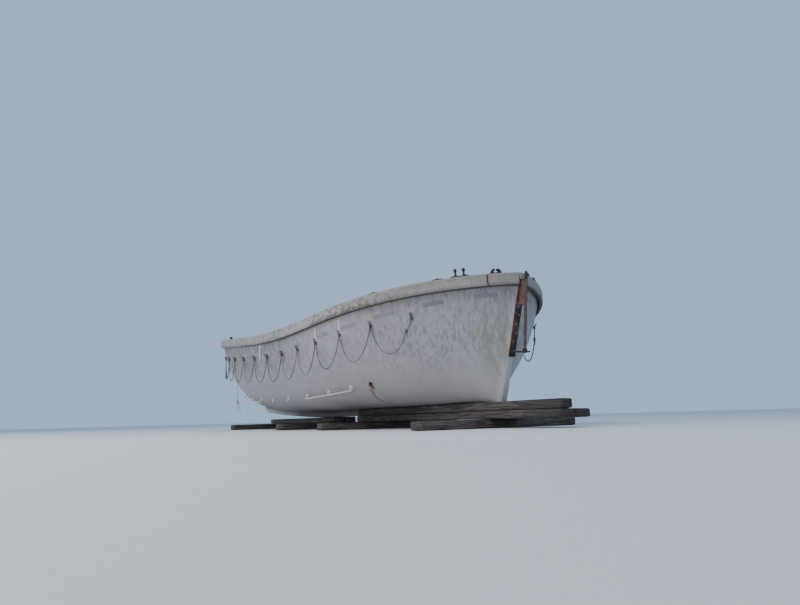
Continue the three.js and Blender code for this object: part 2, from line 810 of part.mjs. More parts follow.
addSolid("grab_stub_port_forward", mirrored(grabPost(STUBS.forward, GRAB.off)), "whitePaint");

// Inside: buoyancy tanks under the side benches and the end sheets, bottom boards, thwarts and fall hooks

const BOARDS = { from: 215, to: 240 };
const BENCH_TOP = 800;
const BENCH_WIDTH = 470;
const WELL = { from: 1370, to: 7630 };
const THWART = { wide: 240, thick: 45, places: [1900, 3150, 4400, 5650, 6900] };
const SHEETS_THICK = 30;
const FULL = RAIL_BEAM / 2;

function slab(from, to, low, high) {
  return boxBetween([-FULL, yOf(from), KEEL_FOOT + low], [FULL, yOf(to), KEEL_FOOT + high]);
}

function sideBench() {
  const line = between(WELL.from + 30, WELL.to - 30, 10);
  const edge = line.map((s) => new THREE.Vector2(halfBreadth(s / LENGTH) - BENCH_WIDTH, yOf(s)));
  edge.push(new THREE.Vector2(FULL, yOf(line.at(-1))), new THREE.Vector2(FULL, yOf(line[0])));
  const depth = BENCH_TOP - BOARDS.to - GAP;
  const block = new THREE.ExtrudeGeometry(new THREE.Shape(edge), { depth, bevelEnabled: false });
  return solidFrom(block, place(0, 0, KEEL_FOOT + BOARDS.to + GAP)).intersect(space);
}

function fallHook(s) {
  const base = KEEL_FOOT + BENCH_TOP + SHEETS_THICK + 2 * GAP;
  const plate = box(120, 160, 12, place(0, yOf(s), base + 6));
  const shank = upright(20, 220, place(0, yOf(s), base + 110));
  const eye = new THREE.TorusGeometry(46, 15, 10, 20).rotateY(Math.PI / 2);
  return plate.add(shank).add(solidFrom(eye, place(0, yOf(s), base + 255)));
}

addSolid("bottom_boards", slab(WELL.from, WELL.to, BOARDS.from, BOARDS.to).intersect(space), "oldWood");
addPair("side_bench", sideBench(), "bench");
THWART.places.forEach((s, k) => {
  const low = BENCH_TOP + GAP;
  const plank = slab(s - THWART.wide / 2, s + THWART.wide / 2, low, low + THWART.thick);
  addSolid(`thwart_${k + 1}`, plank.intersect(space), "oldWood");
});
const ENDS = {
  stern: { from: 0, to: WELL.from - 10, low: 160 },
  bow: { from: WELL.to + 10, to: 8700, low: 300 },
};
for (const [end, { from, to, low }] of Object.entries(ENDS)) {
  const tank = slab(from, to, low, BENCH_TOP).intersect(space);
  addSolid(`${end}_tank`, tank, "bench");
  const sheets = slab(from, to, BENCH_TOP + GAP, BENCH_TOP + SHEETS_THICK).intersect(space);
  addSolid(`${end}_sheets`, sheets, "oldWood");
}
addSolid("fall_hook_aft", fallHook(950), "rustySteel");
addSolid("fall_hook_forward", fallHook(8050), "rustySteel");

// The timber stack: cross bearers on the floor, baulks along the keel, and packing baulks beside it aft

const BEARER_PLACES = [500, 2900, 4500, 7000];
const LOWER_PLACES = { aft: [-650, 3600], forward: [4400, 7450] };
const PACKING = { port: [-650, 3600], starboard: [-420, 3500] };
const PACKING_WIDTH = 140;

BEARER_PLACES.forEach((s, k) => {
  const bearer = box(BEARER.length, BEARER.width, BEARER.height, place(0, yOf(s), BEARER.height / 2));
  addSolid(`cross_bearer_${k + 1}`, bearer, "oldWood");
});
for (const [end, [from, to]] of Object.entries(LOWER_PLACES)) {
  const low = BEARER.height + GAP;
  const baulk = boxBetween([4, yOf(from), low], [4 + LOWER_BAULK.width, yOf(to), low + LOWER_BAULK.height]);
  addPair(`lower_baulk_${end}`, baulk, "oldWood");
}
for (const [side, [from, to]] of Object.entries(PACKING)) {
  const inner = BACKBONE_WIDTH / 2 + GAP;
  const low = [inner, yOf(from), KEEL_FOOT];
  const high = [inner + PACKING_WIDTH, yOf(to), KEEL_FOOT + KEEL_DEPTH - GAP];
  const baulk = boxBetween(low, high);
  addSolid(`packing_baulk_${side}`, side === "port" ? mirrored(baulk) : baulk, "oldWood");
}

export default boat;
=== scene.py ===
# %% [markdown]
# # A lifeboat laid up ashore
# This file dresses a packed CAD model of an open, double-ended lifeboat of glass-reinforced plastic.
# The boat has lost its rudder and stands on a stack of old timber baulks. The CAD model fixes where
# everything is. Here each part gets its smooth or worn shape, and a finish made of shader nodes.
# All lengths are metres: +X is starboard, +Y is forward and +Z is up.

# %% The tools, and the packed model as a fixed frame
import json
import math
import random

import bmesh
import bpy
import numpy as np
from mathutils import Matrix, Vector, noise

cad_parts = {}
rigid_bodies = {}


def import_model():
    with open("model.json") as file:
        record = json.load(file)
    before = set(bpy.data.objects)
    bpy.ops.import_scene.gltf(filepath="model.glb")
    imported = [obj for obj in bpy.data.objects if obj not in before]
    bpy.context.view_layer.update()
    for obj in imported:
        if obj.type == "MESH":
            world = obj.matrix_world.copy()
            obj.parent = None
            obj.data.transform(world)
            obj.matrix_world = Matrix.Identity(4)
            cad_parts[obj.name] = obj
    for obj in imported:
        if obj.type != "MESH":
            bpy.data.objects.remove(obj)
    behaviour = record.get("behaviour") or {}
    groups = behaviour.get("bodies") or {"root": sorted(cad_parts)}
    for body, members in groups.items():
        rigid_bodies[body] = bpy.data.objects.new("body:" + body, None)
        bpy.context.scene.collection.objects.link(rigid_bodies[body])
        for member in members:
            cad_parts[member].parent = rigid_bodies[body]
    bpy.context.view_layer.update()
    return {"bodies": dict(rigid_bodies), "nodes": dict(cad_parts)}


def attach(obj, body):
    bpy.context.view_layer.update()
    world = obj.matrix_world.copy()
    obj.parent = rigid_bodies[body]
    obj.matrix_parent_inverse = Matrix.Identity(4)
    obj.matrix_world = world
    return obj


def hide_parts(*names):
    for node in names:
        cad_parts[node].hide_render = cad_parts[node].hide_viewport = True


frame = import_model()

BODY = next(iter(frame["bodies"]))
print("nodes:", len(frame["nodes"]), "body:", BODY)

# %% [markdown]
# ## The boat as a few formulas
# A boat's hull is drawn from a handful of lines: the sheer (the rail's line from the side), the plan (the
# rail's line from above), the keel, the two end posts, and the sections between them. A yard lofts them
# from battens. Here each line is a short formula, the same one that the CAD model uses, so the smooth
# skin made below lies on the solid one. "s" is the distance forward of the stern's rail end, and "t" the
# height above the keel's foot.

# %% Main sizes
LENGTH = 9.0
HALF_LENGTH = LENGTH / 2
HALF_BEAM = 3.29 / 2
SHELL = 0.02
KEEL_FOOT = 0.19
KEEL_DEPTH = 0.1
HALF_BACKBONE = 0.045
POST_DEPTH = 0.045
STEM_DEPTH = 0.065
RAIL_PROUD = 0.05
RAIL_DEPTH = 0.15
RAIL_CAP = 0.025
print("the boat is", LENGTH, "m long and", 2 * HALF_BEAM, "m wide")

# %% Sheer, keel, sternpost and stem
SHEER = {"lowest_at": 3.17, "depth": 1.24, "aft": (0.1285, 1.2), "forward": (0.129, 2.0)}
KEEL = {"rises_from": 5, "over": 3, "rise": 0.14, "power": 1.6}
POST = {"foot": 0.429, "rake": 0.329, "bend": 0.0166}
STEM = {"at": 8.0, "reach": 0.891, "power": 0.51, "from": 0.24, "high": 1.46}


def lerp(a, b, part):
    return a + (b - a) * part


def sheer(s):
    slope, bend = SHEER["aft" if s < SHEER["lowest_at"] else "forward"]
    return SHEER["depth"] + slope * (math.hypot(s - SHEER["lowest_at"], bend) - bend)


def keel_rise(s):
    return KEEL["rise"] * min(1, max(0, (s - KEEL["rises_from"]) / KEEL["over"])) ** KEEL["power"]


def post_aft(t):
    return POST["foot"] - POST["rake"] * t + POST["bend"] * t * t


def shell_aft(t):
    return post_aft(t) + POST_DEPTH


def shell_forward(t):
    return STEM["at"] + STEM["reach"] * (max(0, t - STEM["from"]) / STEM["high"]) ** STEM["power"]


print("sheer at the stern, lowest and bow:", [round(sheer(s), 3) for s in (0, SHEER["lowest_at"], LENGTH)])

# %% Plan and sections
PLAN = {"aft": (4.63, 0.82), "forward": (2.3, 0.48)}
SECTION = {"aft": (2.02, 0.69), "forward": (0.86, 0.49), "amidships": (2.29, 0.3), "fullness": 2.1}


def end_of(share):
    return "aft" if share < 0.5 else "forward"


def half_breadth(share):
    power, root = PLAN[end_of(share)]
    return (HALF_BEAM - RAIL_PROUD) * max(0, 1 - abs(1 - 2 * share) ** power) ** root


def section_share(share, level):
    """How much of the half breadth is reached at a level: 0 is the section's foot and 1 its top."""
    full = 1 - abs(1 - 2 * share) ** SECTION["fullness"]
    end_power, end_root = SECTION[end_of(share)]
    power, root = SECTION["amidships"]
    return (1 - (1 - level) ** lerp(end_power, power, full)) ** lerp(end_root, root, full)


def bottom_of(share):
    return KEEL_DEPTH + keel_rise(lerp(shell_aft(KEEL_DEPTH), STEM["at"], share))


def top_of(share):
    return sheer(share * LENGTH)


print("half breadths:", [round(half_breadth(share), 3) for share in (0.05, 0.25, 0.5, 0.75, 0.95)])


# %% Points on the skin
def shell_point(share, t):
    """A point on the outside of the starboard half."""
    level = min(1, max(0, (t - bottom_of(share)) / (top_of(share) - bottom_of(share))))
    x = HALF_BACKBONE + max(0, half_breadth(share) - HALF_BACKBONE) * section_share(share, level)
    s = lerp(shell_aft(t), shell_forward(t), share)
    return np.array([x, s - HALF_LENGTH, t + KEEL_FOOT])


def shell_side(s, t):
    """The same surface, found from s and t."""
    share = (s - shell_aft(t)) / (shell_forward(t) - shell_aft(t))
    return shell_point(min(1, max(0, share)), t)


def unit(vector):
    return np.asarray(vector) / np.linalg.norm(vector)


# The skin's direction at a place is measured between two points this far to each side of it
FEEL_ALONG = 0.02
FEEL_UP = 0.015


def shell_along(s, t):
    return shell_side(s + FEEL_ALONG, t) - shell_side(s - FEEL_ALONG, t)


def shell_normal(s, t):
    up = shell_side(s, t + FEEL_UP) - shell_side(s, t - FEEL_UP)
    return unit(np.cross(shell_along(s, t), up))


def mirror(points):
    return np.asarray(points) * [-1, 1, 1]


print("the skin amidships at half height:", shell_side(HALF_LENGTH, 0.6).round(3))

# %% [markdown]
# ## The camera
# The photograph was taken from low down off the boat's port quarter with a wide lens, so the eye is below
# the keel's foot and everything is seen from slightly underneath. A camera can be aimed with a Track To
# constraint, but the photograph is also rolled a little. So the three axes of the camera, found by
# fitting the hull's lines to the picture, are written into its matrix.

# %% Camera
EYE = Vector((-4.64, -9.34, 0.132))
AHEAD = Vector((0.5210, 0.8314, 0.1899)).normalized()
ROLLED_UP = Vector((-0.0793, -0.1773, 0.9814))
RIGHT = AHEAD.cross(ROLLED_UP).normalized()
UP = RIGHT.cross(AHEAD)

camera = bpy.data.objects.new("camera", bpy.data.cameras.new("camera"))
bpy.context.scene.collection.objects.link(camera)
camera.data.sensor_width = 36
camera.data.lens = 27
camera.data.clip_end = 300
camera.matrix_world = Matrix.Translation(EYE) @ Matrix((RIGHT, UP, -AHEAD)).transposed().to_4x4()
bpy.context.scene.camera = camera
print("camera at", tuple(EYE))

# %% [markdown]
# ## Making pieces
# A piece is a mesh made from points and faces, given its material and tied to the CAD model: it rides on
# the boat's one body and hides the plain solids it stands for.
# Most pieces here are lofts: rings of points, one after another, with four-sided faces between them. The
# Curve tools make such shapes too, but a loft's rings may change their outline as they go.

# %% A piece from points and faces
def new_piece(name, points, faces, finish, slot, nodes=(), smooth=True):
    mesh = bpy.data.meshes.new(name)
    mesh.from_pydata([tuple(map(float, p)) for p in points], [], [list(map(int, f)) for f in faces])
    mesh.polygons.foreach_set("use_smooth", [smooth] * len(mesh.polygons))
    piece = bpy.data.objects.new(name, mesh)
    bpy.context.scene.collection.objects.link(piece)
    mesh.materials.append(finish)
    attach(piece, BODY)
    if nodes:
        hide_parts(*nodes)
    print(name, len(mesh.polygons), "faces")
    return piece


def outwards(piece):
    """Turns a closed mesh's faces so that they look outwards."""
    shape = bmesh.new()
    shape.from_mesh(piece.data)
    bmesh.ops.recalc_face_normals(shape, faces=shape.faces)
    shape.to_mesh(piece.data)
    shape.free()
    return piece


def joined(parts):
    """Several (points, faces) as one."""
    points, faces = [], []
    for part_points, part_faces in parts:
        start = len(points)
        points.extend(part_points)
        faces.extend([[number + start for number in face] for face in part_faces])
    return points, faces


# %% Lofts
def loft(rings, path_closed=False, caps=True):
    """Points and faces of a loft through closed rings of equal length."""
    rings = np.asarray(rings)
    count, around = rings.shape[:2]
    faces = []
    for i in range(count if path_closed else count - 1):
        for j in range(around):
            a, b = i * around + j, i * around + (j + 1) % around
            c, d = (i + 1) % count * around + (j + 1) % around, (i + 1) % count * around + j
            faces.append((a, b, c, d))
    if caps and not path_closed:
        faces.append(range(around - 1, -1, -1))
        faces.append(range((count - 1) * around, count * around))
    return rings.reshape(-1, 3), faces


square = np.array([(0, 0, 0), (1, 0, 0), (1, 1, 0), (0, 1, 0)])
print("a loft through two squares is a box:", len(loft([square, square + [0, 0, 1]])[1]), "faces")

# %% Ways across a path
# A direction that no path here starts along, so that the first way across can be found from it
ASKEW = [0.31, 0.2, 0.93]


def frames_along(path):
    """For each point of a path, the way along it and two ways across, which turn as little as they can."""
    path = np.asarray(path, float)
    ways = np.gradient(path, axis=0)
    ways /= np.linalg.norm(ways, axis=1)[:, None]
    side = unit(np.cross(ways[0], ASKEW))
    found = []
    for way in ways:
        side = unit(side - way * side.dot(way))
        found.append((way, side, np.cross(way, side)))
    return found


print("at the start of a path forward, the ways across are",
      [way.round(2) for way in frames_along([(0, 0, 0), (0, 1, 0)])[0][1:]])


# %% Even steps, and round bars
def even_path(points, step):
    """The same path with points at even steps."""
    points = np.asarray(points, float)
    run = np.r_[0, np.cumsum(np.linalg.norm(np.diff(points, axis=0), axis=1))]
    marks = np.linspace(0, run[-1], max(2, round(run[-1] / step) + 1))
    return np.stack([np.interp(marks, run, points[:, k]) for k in range(3)], axis=1)


def path_length(points):
    return float(np.linalg.norm(np.diff(np.asarray(points), axis=0), axis=1).sum())


def even_angles(count):
    return np.arange(count) * 2 * math.pi / count


def around_point(point, side, up, angles, reach):
    """A ring about a point; reach is one number or one for each angle."""
    reach = np.broadcast_to(reach, len(angles))[:, None]
    return point + reach * (np.cos(angles)[:, None] * side + np.sin(angles)[:, None] * up)


def tube(path, radius, sides):
    """A round bar along a path; radius may be one number or one for each point."""
    path = np.asarray(path, float)
    radii = np.broadcast_to(radius, len(path))
    angles = even_angles(sides)
    places = zip(path, radii, frames_along(path))
    return loft([around_point(point, side, up, angles, r) for point, r, (_, side, up) in places])


print("a bar 1 m long in steps of 0.3 m has", len(even_path([(0, 0, 0), (0, 1, 0)], 0.3)), "rings")

# %% [markdown]
# ## Shader maths as plain sums
# A finish is a picture made of sums: "grey, but greener where this noise is high and the height is low".
# The nodes can be wired by hand in the editor, one Math node for each sign. Here a small class wraps one
# socket, so that a Python expression adds the nodes, and `Finish` holds the material being made. Its
# shade starts as one colour or ramp, and then each layer of dirt, rust or wear is laid over it.

# %% A socket that can be added to and multiplied
class Signal:
    """One output socket. Sums on it add Math nodes."""

    def __init__(self, finish, socket):
        self.finish = finish
        self.socket = socket

    def math(self, operation, *values):
        return self.finish.node("ShaderNodeMath", {"operation": operation}, dict(enumerate(values)))

    def __add__(self, other):
        return self.math("ADD", self, other)

    def __radd__(self, other):
        return self.math("ADD", other, self)

    def __sub__(self, other):
        return self.math("SUBTRACT", self, other)

    def __rsub__(self, other):
        return self.math("SUBTRACT", other, self)

    def __mul__(self, other):
        return self.math("MULTIPLY", self, other)

    def __rmul__(self, other):
        return self.math("MULTIPLY", other, self)

    def __abs__(self):
        return self.math("ABSOLUTE", self)

    def most(self, other):
        return self.math("MAXIMUM", self, other)

    def least(self, other):
        return self.math("MINIMUM", self, other)

    def sine(self):
        return self.math("SINE", self)


print("sums that a socket knows:", [name for name in vars(Signal) if not name.startswith("__")])


# %% A material under construction
class Nodes:
    """A material whose nodes are made one at a time."""

    def __init__(self, name):
        self.material = bpy.data.materials.new(name)
        self.material.use_nodes = True
        self.tree = self.material.node_tree
        self.tree.nodes.clear()
        skin = self.node("ShaderNodeBsdfPrincipled")
        self.shader = skin.socket.node
        self.node("ShaderNodeOutputMaterial", {}, {"Surface": skin})
        self.place = self.node("ShaderNodeTexCoord", out="Object")
        self.shade = None

    def node(self, kind, settings=None, sockets=None, out=0):
        """Adds a node: its settings first, then the values or links of its sockets."""
        made = self.tree.nodes.new(kind)
        for key, value in (settings or {}).items():
            if key == "stops":
                self.set_stops(made.color_ramp, value)
            else:
                setattr(made, key, value)
        for key, value in (sockets or {}).items():
            self.feed(made.inputs[key], value)
        return Signal(self, made.outputs[out]) if made.outputs else None

    def feed(self, socket, value):
        if isinstance(value, Signal):
            self.tree.links.new(value.socket, socket)
        elif socket.type == "RGBA" and len(value) == 3:
            socket.default_value = (*value, 1)
        else:
            socket.default_value = value

    @staticmethod
    def set_stops(ramp, stops):
        while len(ramp.elements) < len(stops):
            ramp.elements.new(1)
        for element, (position, shade) in zip(ramp.elements, stops):
            element.position = position
            element.color = (*shade, 1)

    def surface(self, **values):
        """Feeds the shade and the shader's other sockets, and ends the material."""
        for key, value in {"Base Color": self.shade, **values}.items():
            self.feed(self.shader.inputs[key], value)
        print(self.material.name, "is made of", len(self.tree.nodes), "nodes")
        return self.material


# %% What finishes are made of: noises, masks and layers
class Finish(Nodes):
    """A material with a short name for each thing that the finishes below do."""

    def stretched(self, stretch):
        if not stretch:
            return self.place
        return self.node("ShaderNodeVectorMath", {"operation": "MULTIPLY"}, {0: self.place, 1: stretch})

    def noise(self, scale, detail, rough=0.55, stretch=None, warp=0):
        sockets = {"Vector": self.stretched(stretch), "Scale": scale, "Detail": detail, "Roughness": rough,
                   "Distortion": warp}
        return self.node("ShaderNodeTexNoise", {}, sockets)

    def cells(self, scale, stretch=None):
        """How far a point is from the middle of its cell."""
        sockets = {"Vector": self.stretched(stretch), "Scale": scale}
        return self.node("ShaderNodeTexVoronoi", {}, sockets, out="Distance")

    def between(self, value, low, high):
        """0 below low, 1 above high and smooth between; low above high turns it round."""
        ends = {"Value": value, "From Min": low, "From Max": high}
        return self.node("ShaderNodeMapRange", {"interpolation_type": "SMOOTHSTEP"}, ends)

    def band(self, value, low, high, soft):
        return self.between(value, low - soft, low + soft) * self.between(value, high + soft, high - soft)

    def mix(self, factor, below, above):
        return self.node("ShaderNodeMix", {"data_type": "RGBA"}, {0: factor, 6: below, 7: above}, out=2)

    def ramp(self, value, stops):
        return self.node("ShaderNodeValToRGB", {"stops": stops}, {"Fac": value})

    def lay(self, mask, colour):
        """Lays a colour over the shade so far, as thickly as the mask says."""
        self.shade = self.mix(mask, self.shade, colour)

    def painted(self, name):
        """A number stored on the mesh's points."""
        return self.node("ShaderNodeAttribute", {"attribute_name": name}, out="Fac")

    def axes(self):
        split = self.node("ShaderNodeSeparateXYZ", {}, {0: self.place})
        return [Signal(self, socket) for socket in split.socket.node.outputs]

    def bump(self, height, distance, strength, over=None):
        """Small relief, on its own or over another bump."""
        sockets = {"Height": height, "Distance": distance, "Strength": strength}
        if over:
            sockets["Normal"] = over
        return self.node("ShaderNodeBump", {}, sockets)


    def so_far(self):
        print(self.material.name, "has", len(self.tree.nodes), "nodes so far")


def darker(colour, part):
    return [value * part for value in colour]


print("a finish can make:", [name for name in vars(Finish) if not name.startswith("__")])


# %% [markdown]
# ## Rope
# A lifeline is three-strand laid rope, gone grey and stiff. A round curve with a bump map would pass from
# far away, but close up the strands catch the light one by one, so the rope's section has three lobes
# and turns as it goes. Its colour is bleached in patches, with darker fibres in it. The finish is made of
# noise alone, so it also holds for the knots and strops.

# %% Rope finishes
def rope_finish(name, dark, pale):
    finish = Finish(name)
    fibres = finish.noise(420, 3, 0.7)
    blotches = finish.noise(9, 4)
    bleached = finish.noise(1.7, 3)
    finish.shade = finish.mix(finish.between(blotches * 0.5 + bleached * 0.5, 0.4, 0.6), dark, pale)
    finish.lay(fibres * 0.55, darker(dark, 0.45))
    rough_fibres = finish.bump(fibres + finish.noise(1400, 2) * 0.5, 0.0012, 0.7)
    return finish.surface(Roughness=0.95, Normal=rough_fibres)


GREY_ROPE = rope_finish("grey rope", (0.14, 0.136, 0.136), (0.3, 0.29, 0.282))
PALE_ROPE = rope_finish("pale rope", (0.34, 0.34, 0.34), (0.6, 0.59, 0.57))
DARK_CORD = rope_finish("dark cord", (0.06, 0.06, 0.064), (0.15, 0.15, 0.155))

# %% Three-strand rope along a path
STRANDS = 3
ROPE_LAY = 0.055
ROPE_SIDES = 12
ROPE_BODY, ROPE_LOBES = 0.86, 0.14


def laid_rope(points, radius, step=0.006):
    path = even_path(points, step)
    angles = even_angles(ROPE_SIDES)
    rings = []
    for number, (point, (_, side, up)) in enumerate(zip(path, frames_along(path))):
        turn = 2 * math.pi * number * step / ROPE_LAY
        reach = radius * (ROPE_BODY + ROPE_LOBES * np.cos(STRANDS * (angles - turn)))
        rings.append(around_point(point, side, up, angles, reach))
    return loft(rings)


print("1 m of rope has", len(laid_rope([(0, 0, 0), (0, 1, 0)], 0.008)[0]), "points")

# %% [markdown]
# ## The lifelines
# A lifeboat has a line along each side for people in the water, looped between lugs so that each bight
# hangs within reach. Each bight is a catenary. It could be left to the cloth or rope simulation, but its
# ends hang from the lugs, so the places and the drop are what was fitted to the photograph, and the rope's
# length follows from them.

# %% Where the lifelines hang
LUGS = {
    "port": [0.82, 1.27, 1.74, 2.235, 2.73, 3.26, 3.84, 4.43, 5.01, 5.6, 6.19, 6.78, 7.36, 7.9],
    "starboard": [0.82, 1.5, 2.02, 2.56, 3.12, 3.7, 4.3, 4.9, 5.5, 6.1, 6.7, 7.3, 7.9],
}
LUG_BELOW = 0.365
LINE = {"radius": 0.008, "sag": 0.365, "steep": 1.9, "clear": 0.012}
FIRST_HOLD = {"s": 0.87, "drop": 0.14, "straight": 0.025, "sag": 0.285}


def lug_seat(s):
    """Where the line hangs at s on the starboard side, the way along the shell and the way out of it."""
    t = sheer(s) - LUG_BELOW
    along = shell_along(s, t)
    along[2] = 0
    along = unit(along)
    return shell_side(s, t), along, np.array([along[1], -along[0], 0])


def under_lug(s):
    point, _, out = lug_seat(s)
    return point + out * (LINE["radius"] + LINE["clear"])


def lug_foot(s):
    """The top of a rope that hangs straight down from a lug."""
    return under_lug(s) + [0, 0, LINE["radius"]]


for side, places in LUGS.items():
    print(side, "has", len(places), "lugs, the first at", under_lug(places[0]).round(3))


# %% The way of a line from lug to lug
def hang(part):
    """How far down a bight has come at a part of its width, from 0 at its ends to 1 in its middle."""
    end = math.cosh(LINE["steep"])
    return (end - math.cosh(LINE["steep"] * (2 * part - 1))) / (end - 1)


def clear_of_shell(point):
    """Pushes a point of the line out to where the line would lie on the skin."""
    skin = shell_side(point[1] + HALF_LENGTH, point[2] - KEEL_FOOT)[0]
    point[0] = max(point[0], skin + LINE["radius"] + LINE["clear"])
    return point


def line_route(places, parts):
    """A line on the starboard side. Its aft end hangs on a long strop, then it falls from lug to lug."""
    held = [under_lug(s) for s in places]
    top = lug_foot(places[0])
    route = [top, top - [0, 0, FIRST_HOLD["straight"]]]
    held[0] = under_lug(FIRST_HOLD["s"]) - [0, 0, FIRST_HOLD["drop"]]
    sags = [FIRST_HOLD["sag"], *[LINE["sag"]] * (len(held) - 2)]
    for start, stop, sag in zip(held, held[1:], sags):
        for part in parts:
            point = lerp(start, stop, part)
            point[2] -= sag * hang(part)
            route.append(clear_of_shell(point) if part > 0 else point)
    return [*route, held[-1]]


BIGHT_PARTS = np.linspace(0, 1, 25)[:-1]
ROUTE_STEP = 0.02
ROUTES = {
    "port": even_path(mirror(line_route(LUGS["port"], BIGHT_PARTS)), ROUTE_STEP),
    "starboard": even_path(line_route(LUGS["starboard"], BIGHT_PARTS), ROUTE_STEP),
}
for side, route in ROUTES.items():
    print(side, "line:", round(path_length(route), 2), "m long, lowest at", round(route[:, 2].min(), 3))

# %% [markdown]
# ## Knots and strops
# The line is tied up to each lug with thin cord: a few turns round the line pulled tight, a loop through the
# lug's eye and a short tail. Each is made as one path with a thin tube along it, because a knot that is
# modelled as a ball looks like a ball. Small random shifts keep the turns from looking machined.

# %% Turns of cord and tails
STROP = 0.0038
TURN_POINTS = 11
CORD_STEP = 0.004
TAIL = {"step": 0.012, "wave": 0.004}


def knot_turns(centre, along, out, rng, turns=4, high=0.034):
    """Turns of thin cord round a line, from below its centre to above it."""
    count = TURN_POINTS * turns
    winds = []
    for k in range(count):
        angle = 2 * math.pi * k / TURN_POINTS
        reach = LINE["radius"] + STROP + 0.003 * (k % TURN_POINTS) / TURN_POINTS
        level = -high / 2 + high * k / (count - 1) + rng.uniform(-0.001, 0.001)
        winds.append(centre + reach * (math.cos(angle) * along + math.sin(angle) * out) + [0, 0, level])
    return winds


def cord_tail(centre, along, out, aside, start, count):
    """A tail that hangs beside a knot, a little crooked."""
    tail = []
    for k in range(count):
        below = [0, 0, start - TAIL["step"] * k]
        tail.append(centre + along * aside + below + out * TAIL["wave"] * math.sin(k))
    return tail


print("a knot's turns take", len(knot_turns(np.zeros(3), 1, 1, random.Random(0))), "points")


# %% A strop, and the first knot
LOOP = {"out": 0.046, "up": 0.05, "open": 2.4, "half_width": 0.016, "half_height": 0.012}


def strop_path(s, rng):
    """A thin cord that winds round the line under a lug, goes up to the lug's eye and hangs a tail."""
    point, along, out = lug_seat(s)
    centre = under_lug(s)
    eye = point + out * LOOP["out"] + [0, 0, LOOP["up"]]
    tail = cord_tail(centre, along, out, 0.014, -0.03, 5)
    loop = []
    for angle in np.linspace(-LOOP["open"], LOOP["open"], 12):
        up = [0, 0, LOOP["half_height"] * math.cos(angle)]
        loop.append(eye + along * LOOP["half_width"] * math.sin(angle) + up)
    winds = knot_turns(centre, along, out, rng)
    return [*tail[::-1], *winds, *loop, centre + along * -0.012 + [0, 0, -0.012]]


def first_knot(rng):
    """The knot where the long strop meets the aft end of the line."""
    _, along, out = lug_seat(FIRST_HOLD["s"])
    centre = under_lug(FIRST_HOLD["s"]) - [0, 0, FIRST_HOLD["drop"]]
    tail = cord_tail(centre, along, out, -0.016, -0.02, 6)
    return [*tail[::-1], *knot_turns(centre, along, out, rng, 5, 0.044)]


print("one strop takes", round(path_length(strop_path(LUGS["port"][3], random.Random(0))), 2), "m of cord")


# %% Lifelines with their knots
def declared_rope(name, route, finish, node):
    rope = outwards(new_piece(name, *laid_rope(route, LINE["radius"]), finish, "rope", [node]))


SIDES = {"port": mirror, "starboard": np.asarray}
for side, turn in SIDES.items():
    rng = random.Random(side)
    paths = [strop_path(s, rng) for s in LUGS[side]] + [first_knot(rng)]
    cords = [tube(even_path(turn(path), CORD_STEP), STROP, 8) for path in paths]
    knots = outwards(new_piece(f"lifeline_knots_{side}", *joined(cords), DARK_CORD, "rope"))
    declared_rope(f"lifeline_rope_{side}", ROUTES[side], GREY_ROPE, f"lifeline_{side}")

# %% [markdown]
# ## The bow painter
# One short rope hangs by itself from a lug on the port bow. It is paler than the lifelines, and it ends in
# a knot with two tails. A straight bar would do for a plumb line, but a short stiff rope keeps a slow wave.
# The rope itself runs down into one of the tails, and the knot and the other tail are turns of the same
# rope.

# %% Bow painter
PAINTER = {"s": 8.46, "foot": 0.2, "sway": 0.014, "turns": 1.3, "points": 18}
PAINTER_KNOT = {"t": 0.4, "points": 34, "half": 0.026, "reach": 0.018, "loose": 0.006, "radius": 0.0075}
PAINTER_TAIL = {"start": np.array([-0.014, 0, -0.034]), "way": np.array([-0.05, -0.03, -0.155])}


def painter_route():
    head = lug_foot(PAINTER["s"])
    fall = head[2] - KEEL_FOOT - PAINTER["foot"]
    route = []
    for part in np.linspace(0, 1, PAINTER["points"] + 1):
        free = max(0, part - 1 / PAINTER["points"])
        sway = PAINTER["sway"] * math.sin(math.pi * PAINTER["turns"] * free)
        route.append(head + [sway, 0, -fall * part])
    return np.array(route)


def painter_knot(route):
    """Three turns round the rope, then a tail beside its own end."""
    level = KEEL_FOOT + PAINTER_KNOT["t"]
    middle = np.array([np.interp(-level, -route[:, 2], route[:, k]) for k in range(3)])
    count, half = PAINTER_KNOT["points"], PAINTER_KNOT["half"]
    turns = []
    for k in range(count):
        angle = 2 * math.pi * k / TURN_POINTS
        reach = PAINTER_KNOT["reach"] + PAINTER_KNOT["loose"] * math.sin(angle * 1.7)
        up = half - 2 * half * k / (count - 1)
        turns.append(middle + [reach * math.cos(angle), reach * math.sin(angle), up])
    tail = [middle + (PAINTER_TAIL["start"] + PAINTER_TAIL["way"] * part) for part in np.linspace(0, 1, 9)]
    return [*turns, *tail]


painter_line = mirror(painter_route())
painter_tail = mirror(painter_knot(painter_route()))
tie = outwards(new_piece("painter_knot", *laid_rope(painter_tail, PAINTER_KNOT["radius"], CORD_STEP),
                         PALE_ROPE, "rope"))
declared_rope("painter_rope", even_path(painter_line, ROUTE_STEP), PALE_ROPE, "bow_painter")
